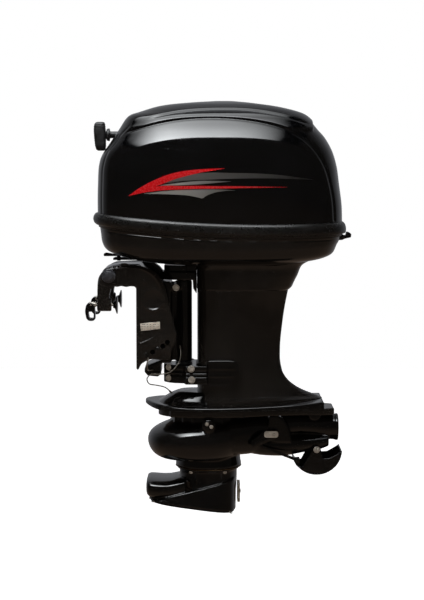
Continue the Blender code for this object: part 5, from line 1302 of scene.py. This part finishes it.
def build_gate():
    eye_x, eye_z = GATE_X + ARM[0], GATE_Z + ARM[1]
    strip = arc(GATE_R - 0.2, -160.0, -3.0, 60) + arc(GATE_R - 2.9, -3.0, -160.0, 60)
    cheek = arc(GATE_R - 1.0, -134.0, -4.0, 48) + [(GATE_X + 52.0, GATE_Z - 12.0),
                                                   (GATE_X + 34.0, GATE_Z - 22.0)]
    cheek += soft_corners([(GATE_X + 17.0, GATE_Z - 22.0), (GATE_X + 10.0, GATE_Z + 2.0),
                           (GATE_X + 5.0, GATE_Z + 9.0),
                           (GATE_X - 5.0, GATE_Z + 9.0), (GATE_X - 10.0, GATE_Z + 2.0),
                           (GATE_X - 18.0, GATE_Z - 36.0)], 3.0)
    arm = [(GATE_X - 9.0, GATE_Z + 3.0), (GATE_X - 4.0, GATE_Z + 8.4), (GATE_X + 4.0, GATE_Z + 8.4),
           (GATE_X + 9.0, GATE_Z + 3.0),
           (GATE_X + 22.0, GATE_Z - 59.0), (GATE_X - 38.0, GATE_Z - 50.0)]
    lug = soft_corners([(eye_x - 8.0, eye_z + 5.0), (eye_x + 5.0, eye_z + 6.5), (eye_x + 8.0, eye_z - 2.0),
                        (eye_x + 4.0, eye_z - 22.0),
                        (eye_x - 4.0, eye_z - 14.0)], 2.5)
    solids = [prism(strip, "XZ", -53.7, 53.7), prism(lug, "XZ", -53.3, -50.5)]
    for side, _ in SIDES:
        solids.append(prism(cheek, "XZ", *sorted((side * 50.7, side * 53.0))))
        solids.append(prism(soft_corners(arm, 2.0), "XZ", *sorted((side * 51.5, side * 53.9))))
    made = cast("gate_cup", solids, (), (), 0.95, 2)
    cut_away(made, [rod(5.3, -80.0, 80.0, (GATE_X, 0.0, GATE_Z), "Y", 32)])
    cut_away(made, [rod(3.2, -80.0, 0.0, (eye_x, 0.0, eye_z), "Y", 24)])
    piece(made, "gate_cup", DARK, "reverse_gate", "reverse_gate", sharp=45.0)
    bolt = [rod(4.8, -55.0, 55.0, (GATE_X, 0.0, GATE_Z), "Y", 32)]
    for side, _ in SIDES:
        bolt.append(turned([(0.0, side * 54.5), (8.2, side * 54.5), (8.2, side * 55.8), (7.6, side * 56.4),
                            (0.0, side * 56.4)],
                           (GATE_X, 0.0, GATE_Z), "Y", 40))
        bolt.append(turned([(0.0, side * 56.0), (5.6, side * 56.0), (5.6, side * 58.6), (4.6, side * 59.8),
                            (0.0, side * 59.8)],
                           (GATE_X, 0.0, GATE_Z), "Y", 6))
    piece(joined(*bolt), "gate_bolt", STEEL, "engine_unit", "gate_pivot_bolt", sharp=35.0)
    top_x, top_z = CRANK_X + ARM[0], CRANK_Z + ARM[1]
    length = math.hypot(eye_x - top_x, eye_z - top_z)
    ax, az = (eye_x - top_x) / length, (eye_z - top_z) / length
    shape = [(-6.0, -4.0), (-3.0, -6.5), (3.0, -6.5), (9.0, -3.5), (length - 9.0, -3.5), (length - 3.0, -6.5),
             (length + 3.0, -6.5), (length + 6.0, -4.0)]
    shape = soft_corners(shape + [(a, -b) for a, b in reversed(shape)], 3.5)
    outline = [(top_x + ax * a - az * b, top_z + az * a + ax * b) for a, b in shape]
    link = joined(prism(outline, "XZ", -67.8, -64.2), rod(2.9, -66.0, -50.8, (eye_x, 0.0, eye_z), "Y", 24),
                  hex_bolt((eye_x, -67.6, eye_z), "Y", -1.0, 3.6, 3.2, 1.3))
    piece(link, "gate_link", DARK, "shift_link", "shift_link", bevel=0.4)
    crank = soft_corners([(CRANK_X + 11.0, CRANK_Z - 8.0), (CRANK_X + 12.0, CRANK_Z + 9.0),
                          (CRANK_X - 25.0, CRANK_Z + 9.0),
                          (top_x - 8.0, top_z + 6.0), (top_x - 6.0, top_z - 7.0),
                          (top_x + 4.0, top_z - 8.0)], 5.0)
    made = mesh_object("bell_crank", prism(crank, "XZ", -73.8, -70.6))
    turn_out(made)
    cut_away(made, [rod(4.2, -90.0, 0.0, (CRANK_X, 0.0, CRANK_Z), "Y", 32)])
    piece(made, "bell_crank", DARK, "shift_bell_crank", "shift_bell_crank", bevel=0.5)
    piece(prism(rounded(320.5, 356.0, -384.0, -367.5, 6.5), "XZ", -75.6, -73.9), "crank_plate", PALE,
          "shift_bell_crank",
          bevel=0.4)
    piece(hex_bolt((CRANK_X, -73.2, CRANK_Z), "Y", -1.0, 4.4, 3.4, 1.3), "crank_nut", STEEL, "engine_unit",
          sharp=35.0)
    piece(rod(4.0, -76.6, -69.0, (CRANK_X, 0.0, CRANK_Z), "Y", 32, 0.6), "crank_stud", DULL, "engine_unit")


# ---------------------------------------------------------------- powerhead and rotating line
def about_drive(outline, angle):
    """Outline turned about the drive axis."""
    c, s = math.cos(angle), math.sin(angle)
    return [(DRIVE_X + a * c - b * s, a * s + b * c) for a, b in outline]


def bored(name, shape, *cutters):
    """Solid with each cutter taken out of it in turn."""
    made = mesh_object(name, shape)
    turn_out(made)
    for cutter in cutters:
        cut_away(made, [cutter])
    return made


def build_crankcase():
    rings = [[(x, y, z) for x, y in rounded(116.3, 245.7, -w, w, 14.0, 8)]
             for z, w in [(64.3, 61.0), (66.0, 62.4), (78.0, 65.6), (150.0, 65.8), (215.0, 65.8),
                          (284.0, 65.8), (292.0, 60.0), (293.7, 57.0)]]
    made = bored("crankcase_casting", rows(rings), rod(36.0, 76.0, 282.0, DRIVE, "Z", 64),
                 rod(13.5, 50.0, 310.0, DRIVE, "Z", 48))
    piece(made, "crankcase_casting", HEAD, "engine_unit", "crankcase", bevel=1.2)
    for side, tag in SIDES:
        for index, z in enumerate((92.0, 140.0, 188.0, 236.0, 276.0)):
            piece(hex_bolt((132.0, side * 65.4, z), "Y", side, 5.0, 4.6, 1.3),
                  "%s_case_bolt_%d" % (tag, index), STEEL,
                  "engine_unit", sharp=35.0)


def build_cylinders():
    solids = [block(246.6, 351.8, -60.0, 60.0, 72.5, 287.5)]
    z = 84.0
    while z < 280.0:
        solids.append(prism(rounded(250.0, 350.0, -69.6, 69.6, 10.0, 4), "XY", z, z + 5.0))
        z += 13.0
    made = cast("block_casting", solids, (), (), 2.2, 2)
    for z in CYLINDER_Z:
        cut_away(made, [rod(38.0, 200.0, 400.0, (0.0, 0.0, z), "X", 48)])
    piece(made, "block_casting", HEAD, "engine_unit", "cylinder_block", sharp=45.0)
    fins = [(352.6, 80.3), (380.0, 80.3)]
    z = 84.0
    while z < 276.0:
        fins += [(389.0, z + 1.0), (389.6, z + 2.5), (389.6, z + 5.5), (389.0, z + 7.0), (382.0, z + 8.0),
                 (382.0, z + 15.0)]
        z += 16.0
    fins += [(380.0, 279.7), (352.6, 279.7)]
    made = bored("head_casting", prism(fins, "XZ", -63.7, 63.7))
    for z in CYLINDER_Z:
        cut_away(made, [rod(12.5, 372.0, 400.0, (0.0, 0.0, z), "X", 40)])
        cut_away(made, [rod(7.6, 340.0, 400.0, (0.0, 0.0, z), "X", 32)])
    piece(made, "head_casting", HEAD, "engine_unit", "cylinder_head", bevel=0.6)


def build_plugs_and_head_nuts():
    for tag, z in zip(("lower", "upper"), CYLINDER_Z):
        core = turned([(0.0, 350.2), (2.4, 350.2), (2.6, 352.2), (6.8, 352.4), (6.8, 378.0), (5.0, 380.0),
                       (4.8, 404.0), (5.4, 405.0), (4.8, 406.2), (5.4, 407.4), (4.8, 408.6), (4.2, 418.0),
                       (3.2, 420.0), (3.2, 427.0), (0.0, 427.6)], (0.0, 0.0, z), "X", 32)
        piece(core, tag + "_plug_core", CERAMIC, "engine_unit", tag + "_spark_plug", sharp=40.0)
        piece(hex_bolt((389.0, 0.0, z), "X", 1.0, 9.6, 9.0, 1.1), tag + "_plug_hex", STEEL, "engine_unit",
              sharp=35.0)
        piece(turned([(5.0, 404.0), (9.2, 405.0), (9.8, 409.0), (9.2, 424.0), (7.4, 427.8), (3.4, 427.8),
                      (3.4, 420.0), (5.2, 418.0)],
                     (0.0, 0.0, z), "X", 40, loop=True), tag + "_plug_boot", RUBBER, "engine_unit",
              sharp=45.0)
        for y in (-44.0, 44.0):
            for dz in (-34.0, 34.0):
                if 84.0 < z + dz < 276.0:
                    piece(hex_bolt((382.4, y, z + dz), "X", 1.0, 6.0, 5.4, 1.3),
                          "%s_head_nut_%d_%d" % (tag, y > 0, dz > 0), STEEL,
                          "engine_unit", sharp=35.0)


def build_carburettor():
    carb = [[(x, y, z) for y, z in rounded(-h, h, 178.0 - h, 178.0 + h, 9.0, 8)]
            for x, h in [(115.3, 29.6), (104.6, 29.8), (103.6, 28.8), (100.4, 22.4), (99.0, 21.8),
                         (85.0, 21.8), (83.6, 22.6),
                         (80.2, 26.2), (79.4, 26.8), (66.4, 26.8)]]
    made = bored("carb_body", rows(carb), rod(15.0, 40.0, 113.0, (0.0, 0.0, 178.0), "X", 48))
    piece(made, "carb_body", BARE, "engine_unit", "carburettor", bevel=0.7)
    piece(turned([(0.0, 130.5), (15.0, 130.5), (17.6, 133.0), (18.0, 155.6), (0.0, 155.6)], (91.0, 0.0, 0.0),
                 "Z", 48),
          "float_bowl", BARE, "engine_unit", sharp=40.0)
    box = [[(x, y, z) for y, z in rounded(-70.0 + e, 70.0 - e, 128.0 + e, 244.0 - e, 16.0, 8)]
           for x, e in [(65.2, 5.0), (63.0, 3.2), (58.0, 0.4), (40.0, 0.4), (22.0, 0.4), (14.0, 2.6),
                        (10.3, 6.0)]]
    made = bored("silencer_box", rows(box), rod(14.0, 40.0, 80.0, (0.0, 0.0, 178.0), "X", 40),
                 block(24.0, 52.0, -60.0, 60.0, 140.0, 232.0))
    piece(made, "silencer_box", PLASTIC, "engine_unit", "air_silencer", bevel=1.5)


def build_flywheel():
    piece(turned([(13.5, 300.3), (91.0, 300.3), (92.0, 301.0), (96.6, 304.4), (96.8, 325.6), (88.0, 329.0),
                  (88.0, 337.6), (46.4, 337.6), (45.8, 351.2), (45.0, 351.8), (30.4, 351.8), (30.0, 351.0),
                  (30.0, 336.0), (13.5, 336.0)], DRIVE, "Z", 120, loop=True),
          "flywheel_disc", IRON, "rotating_line", "flywheel", sharp=35.0)
    teeth = []
    for k in range(92):
        for share, radius in ((0.0, 97.2), (0.22, 97.2), (0.34, 99.7), (0.66, 99.7), (0.78, 97.2)):
            angle = 2.0 * math.pi * (k + share) / 92
            teeth.append((DRIVE_X + radius * math.cos(angle), radius * math.sin(angle)))
    inside = [(DRIVE_X + 87.0 * math.cos(2.0 * math.pi * k / len(teeth)),
               87.0 * math.sin(2.0 * math.pi * k / len(teeth)))
              for k in range(len(teeth))]
    piece(rows([[(x, y, 329.6) for x, y in teeth], [(x, y, 337.8) for x, y in teeth],
                [(x, y, 337.8) for x, y in inside], [(x, y, 329.6) for x, y in inside]], loop=True),
          "ring_gear", DULL, "rotating_line", sharp=30.0)


def build_crankshaft():
    webs = [(0.0, 64.4), (12.8, 64.4), (12.8, 84.0), (29.6, 84.4), (29.8, 95.6), (12.0, 96.0), (12.0, 166.0),
            (29.6, 166.4), (29.8, 189.6), (12.0, 190.0), (12.0, 262.0), (29.6, 262.4), (29.8, 273.6),
            (12.8, 274.0),
            (12.8, 345.0), (12.0, 345.8), (0.0, 345.8)]
    made = bored("crank_forging", turned(webs, DRIVE, "Z", 56), rod(6.4, 40.0, 78.0, DRIVE, "Z", 32))
    piece(made, "crank_forging", STEEL, "rotating_line", "crankshaft", sharp=35.0)
    piece(rod(5.9, -403.6, 75.6, DRIVE, "Z", 40, 0.8), "drive_rod", STEEL, "rotating_line", "driveshaft",
          sharp=40.0)
    piece(hex_bolt((DRIVE_X, 0.0, 345.6), "Z", 1.0, 10.5, 9.0, 1.2), "flywheel_nut", STEEL, "rotating_line",
          sharp=35.0)


def build_recoil():
    bell = [(0.0, 364.3), (11.4, 364.3), (11.4, 398.2), (85.8, 398.2), (99.0, 389.8), (104.8, 341.8),
            (113.4, 341.8), (113.8, 342.6), (113.6, 343.8), (109.6, 345.6), (107.6, 352.0), (103.0, 391.4),
            (99.0, 396.6), (88.0, 401.4),
            (60.0, 403.0), (0.0, 403.4)]
    made = bored("recoil_cover", turned(bell, DRIVE, "Z", 120), block(40.0, 120.0, 4.0, 62.0, 362.0, 392.0))
    slots = []
    for k in range(14):
        angle = math.radians(20.0 + 360.0 * k / 14)
        slots.append(prism(about_drive(rounded(44.0, 80.0, -4.0, 4.0, 3.9, 5), angle), "XY", 380.0, 420.0))
    cut_away(made, slots)
    piece(made, "recoil_cover", DARK, "engine_unit", "recoil_housing", sharp=38.0)
    for k in (0, 2):
        angle = math.radians(60.0 + 120.0 * k)
        ear = about_drive(rounded(106.0, 126.8, -8.8, 8.8, 6.0, 5), angle)
        piece(prism(ear, "XY", 342.2, 345.8), "recoil_ear_%d" % k, DARK, "engine_unit", bevel=0.6)
        place = (DRIVE_X + 118.0 * math.cos(angle), 118.0 * math.sin(angle), 345.6)
        piece(hex_bolt(place, "Z", 1.0, 5.0, 4.4, 1.3), "recoil_bolt_%d" % k, STEEL, "engine_unit",
              sharp=35.0)
    sheave = [(12.0, 368.2), (73.0, 368.2), (73.8, 369.0), (SHEAVE_R + 1.0, 373.0), (SHEAVE_R, 374.6),
              (SHEAVE_R, 379.4), (SHEAVE_R + 1.0, 381.0), (73.8, 385.0), (73.0, 385.8), (12.0, 385.8)]
    piece(turned(sheave, DRIVE, "Z", 96, loop=True), "rope_pulley", PLASTIC, "starter_sheave",
          "starter_sheave", sharp=40.0)


def build_exhaust_and_adapter():
    tube = (278.0, 0.0, 0.0)
    piece(turned([(25.8, -249.6), (25.8, 61.6), (23.7, 61.6), (23.7, -249.6)], tube, "Z", 56, loop=True),
          "exhaust_pipe", DULL, "engine_unit", "exhaust_tube")
    made = bored("adapter_slab", prism(rounded(152.3, 375.7, -51.7, 51.7, 26.0, 8), "XY", 51.2, 63.4),
                 rod(9.0, 40.0, 80.0, DRIVE, "Z", 32), rod(26.5, 40.0, 80.0, tube, "Z", 48))
    piece(made, "adapter_slab", BARE, "engine_unit", "powerhead_adapter", bevel=0.8)


def build_powerhead():
    build_crankcase()
    build_cylinders()
    build_plugs_and_head_nuts()
    build_carburettor()
    build_flywheel()
    build_crankshaft()
    build_impeller()
    build_recoil()
    build_exhaust_and_adapter()


SHEAVE_R = 60.0


def build_impeller():
    """Hub with three swept helical blades."""
    hub = smooth([(19.8, -353.0), (23.0, -372.0), (26.0, -392.0), (29.6, -420.0), (24.0, -447.0),
                  (12.0, -457.4)], 5).tolist()
    profile = [(6.4, -353.0)] + hub + [(6.4, -457.6)]
    shapes = [turned(profile, (DRIVE_X, 0.0, 0.0), "Z", 64, loop=True)]
    for blade in range(3):
        rings = []
        for step in range(25):
            angle = math.radians(120.0 * blade + 4.0 * step)
            z = -448.0 + 1.07 * step
            thick = 1.0 + 1.2 * math.sin(math.pi * (step + 0.5) / 25.0)
            c, s = math.cos(angle), math.sin(angle)
            rings.append([(DRIVE_X + low * c, low * s, z + dz) for low, dz in
                          ((19.0, -thick), (44.0, -thick * 0.8), (66.4, -thick * 0.45), (66.4, thick * 0.45),
                           (44.0, thick * 0.8), (19.0, thick))])
        shapes.append(rows(rings))
    piece(joined(*shapes), "pump_impeller", BARE, "rotating_line", "impeller", sharp=38.0)


# ---------------------------------------------------------------- bonding leads
def lead_ends(name, points, body_a, body_b):
    for index, (here, beyond, body) in enumerate(((points[0], points[1], body_a),
                                                  (points[-1], points[-2], body_b))):
        here, beyond = np.array(here), np.array(beyond)
        along = (beyond - here) / np.linalg.norm(beyond - here)
        sleeve = tube_along([here, here + along * 3.0, here + along * 6.0, here + along * 9.5], 2.35, 20)
        piece(sleeve, "%s_ferrule_%d" % (name, index), DULL, body, sharp=40.0)


def build_leads():
    first = [(30.0, -117.0, -176.0), (28.0, -120.0, -190.0), (28.0, -112.0, -205.0), (34.0, -84.0, -212.0),
             (40.0, -58.6, -214.0)]
    second = [(107.0, -22.0, -156.0), (110.0, -42.0, -168.0), (109.0, -68.0, -184.0), (103.0, -84.0, -197.0),
              (83.0, -88.0, -216.0), (55.0, -86.0, -221.5), (36.0, -84.0, -222.0), (26.0, -80.0, -233.0),
              (30.0, -74.0, -246.0), (50.0, -66.0, -252.0), (70.0, -58.0, -258.0), (88.0, -50.0, -274.0)]
    for name, points, bodies, node in (("bracket_lead", first, ("transom_bracket", "swivel"),
                                        "swivel_bond_lead"),
                                       ("pump_lead", second, ("swivel", "engine_unit"), "engine_bond_lead")):
        lead_ends(name, points, *bodies)
        obj = mesh_object(name, tube_along(smooth(points, 14), 1.45, 14))
        turn_out(obj)
        dress(obj, name, CORD, node)
        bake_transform(obj)


# ---------------------------------------------------------------- stage, light and camera
def area_light(name, place, target, size, size_y, power, colour=(1.0, 1.0, 1.0)):
    data = bpy.data.lights.new(name, "AREA")
    data.shape = "RECTANGLE"
    data.size = size
    data.size_y = size_y
    data.energy = power
    data.color = colour
    data.spread = math.pi
    made = bpy.data.objects.new(name, data)
    made.location = place
    made.rotation_mode = "QUATERNION"
    made.rotation_quaternion = (Vector(target) - Vector(place)).to_track_quat("-Z", "Y")
    bpy.context.scene.collection.objects.link(made)
    return made


def build_stage():
    floor = mesh_object("floor", block(-9000.0, 9000.0, -9000.0, 9000.0, -1420.0, -1400.0))
    paper, tree, shader, place = nodes_of("paper_white")
    tone = spread(tree, noise(tree, place, 3.0, 3.0), 0.90, 0.94)
    colour = blend_colours(tree, tone, (0.80, 0.80, 0.80), (0.93, 0.93, 0.93))
    tree.links.new(colour, shader.inputs["Base Color"])
    shader.inputs["Roughness"].default_value = 0.9
    shader.inputs["Emission Color"].default_value = (1.0, 1.0, 1.0, 1.0)
    shader.inputs["Emission Strength"].default_value = 1.0
    floor.data.materials.append(paper)
    floor.visible_glossy = False
    floor.visible_diffuse = False

    world = bpy.data.worlds.new("studio")
    bpy.context.scene.world = world
    world.use_nodes = True
    tree = world.node_tree
    tree.nodes.clear()
    out = tree.nodes.new("ShaderNodeOutputWorld")
    plain = tree.nodes.new("ShaderNodeBackground")
    plain.inputs["Color"].default_value = (1.0, 1.0, 1.0, 1.0)
    room = tree.nodes.new("ShaderNodeBackground")
    where = tree.nodes.new("ShaderNodeTexCoord")
    parts = tree.nodes.new("ShaderNodeSeparateXYZ")
    tree.links.new(where.outputs["Generated"], parts.inputs["Vector"])
    back = spread(tree, parts.outputs["Y"], 0.0, 1.0, 0.10, 0.75)
    dim = blend_colours(tree, back, (0.036, 0.032, 0.028), (0.24, 0.245, 0.26))
    low = spread(tree, parts.outputs["Z"], 0.0, 1.0, -0.05, -0.55)
    warm = blend_colours(tree, low, dim, (0.16, 0.115, 0.085))
    tree.links.new(warm, room.inputs["Color"])
    room.inputs["Strength"].default_value = 1.0
    ray = tree.nodes.new("ShaderNodeLightPath")
    mix = tree.nodes.new("ShaderNodeMixShader")
    tree.links.new(ray.outputs["Is Camera Ray"], mix.inputs["Fac"])
    tree.links.new(room.outputs["Background"], mix.inputs[1])
    tree.links.new(plain.outputs["Background"], mix.inputs[2])
    tree.links.new(mix.outputs["Shader"], out.inputs["Surface"])

    softbox()
    back = area_light("back_box", (0.2, 3.0, 0.9), (0.19, 0.0, 0.0), 3.0, 2.2, 60.0)
    back.visible_glossy = False
    fill = area_light("front_fill", (0.6, -3.6, -0.35), (0.25, 0.0, -0.2), 1.5, 1.5, 26.0, (1.0, 0.93, 0.86))
    fill.visible_glossy = False


def softbox():
    """Overhead sheet, brightest along its sharp front edge and fading to the back and to the stern."""
    sheet = mesh_object("softbox", block(-2400.0, 2400.0, -2000.0, 1000.0, 2600.0, 2610.0))
    made = bpy.data.materials.new("softbox_light")
    made.use_nodes = True
    tree = made.node_tree
    tree.nodes.clear()
    where = tree.nodes.new("ShaderNodeTexCoord")
    parts = tree.nodes.new("ShaderNodeSeparateXYZ")
    tree.links.new(where.outputs["Generated"], parts.inputs["Vector"])
    near = spread(tree, parts.outputs["Y"], 16.0, 3.6, 0.0, 0.6)
    bow = spread(tree, parts.outputs["X"], 0.0, 1.0, 0.07, 0.34)
    stern = spread(tree, parts.outputs["X"], 1.0, 0.0, 0.40, 0.80)
    for edge in (bow, stern):
        power = tree.nodes.new("ShaderNodeMath")
        power.operation = "MULTIPLY"
        tree.links.new(near, power.inputs[0])
        tree.links.new(edge, power.inputs[1])
        near = power.outputs[0]
    glow = tree.nodes.new("ShaderNodeEmission")
    glow.inputs["Color"].default_value = (0.95, 0.98, 1.0, 1.0)
    tree.links.new(near, glow.inputs["Strength"])
    out = tree.nodes.new("ShaderNodeOutputMaterial")
    tree.links.new(glow.outputs["Emission"], out.inputs["Surface"])
    sheet.data.materials.append(made)
    sheet.visible_camera = False


def build_camera():
    data = bpy.data.cameras.new("camera")
    data.sensor_width = 36.0
    data.lens = 94.47
    data.clip_start = 0.1
    data.clip_end = 60.0
    made = bpy.data.objects.new("camera", data)
    made.location = (0.189, -4.0, 0.302)
    made.rotation_mode = "QUATERNION"
    made.rotation_quaternion = (Vector((0.189, 0.0, -0.042)) - made.location).to_track_quat("-Z", "Y")
    bpy.context.scene.collection.objects.link(made)
    bpy.context.scene.camera = made


def main():
    bpy.context.scene.view_settings.view_transform = "Standard"
    build_camera()
    build_stage()
    cowl = build_upper_cowl()
    build_decals(cowl)
    build_band()
    build_lower_cowl()
    build_latch()
    build_grip_and_rope()
    build_transom_bracket()
    build_swivel()
    build_steering()
    build_casings()
    build_pump()
    build_intake()
    build_gate()
    build_powerhead()
    build_leads()


main()
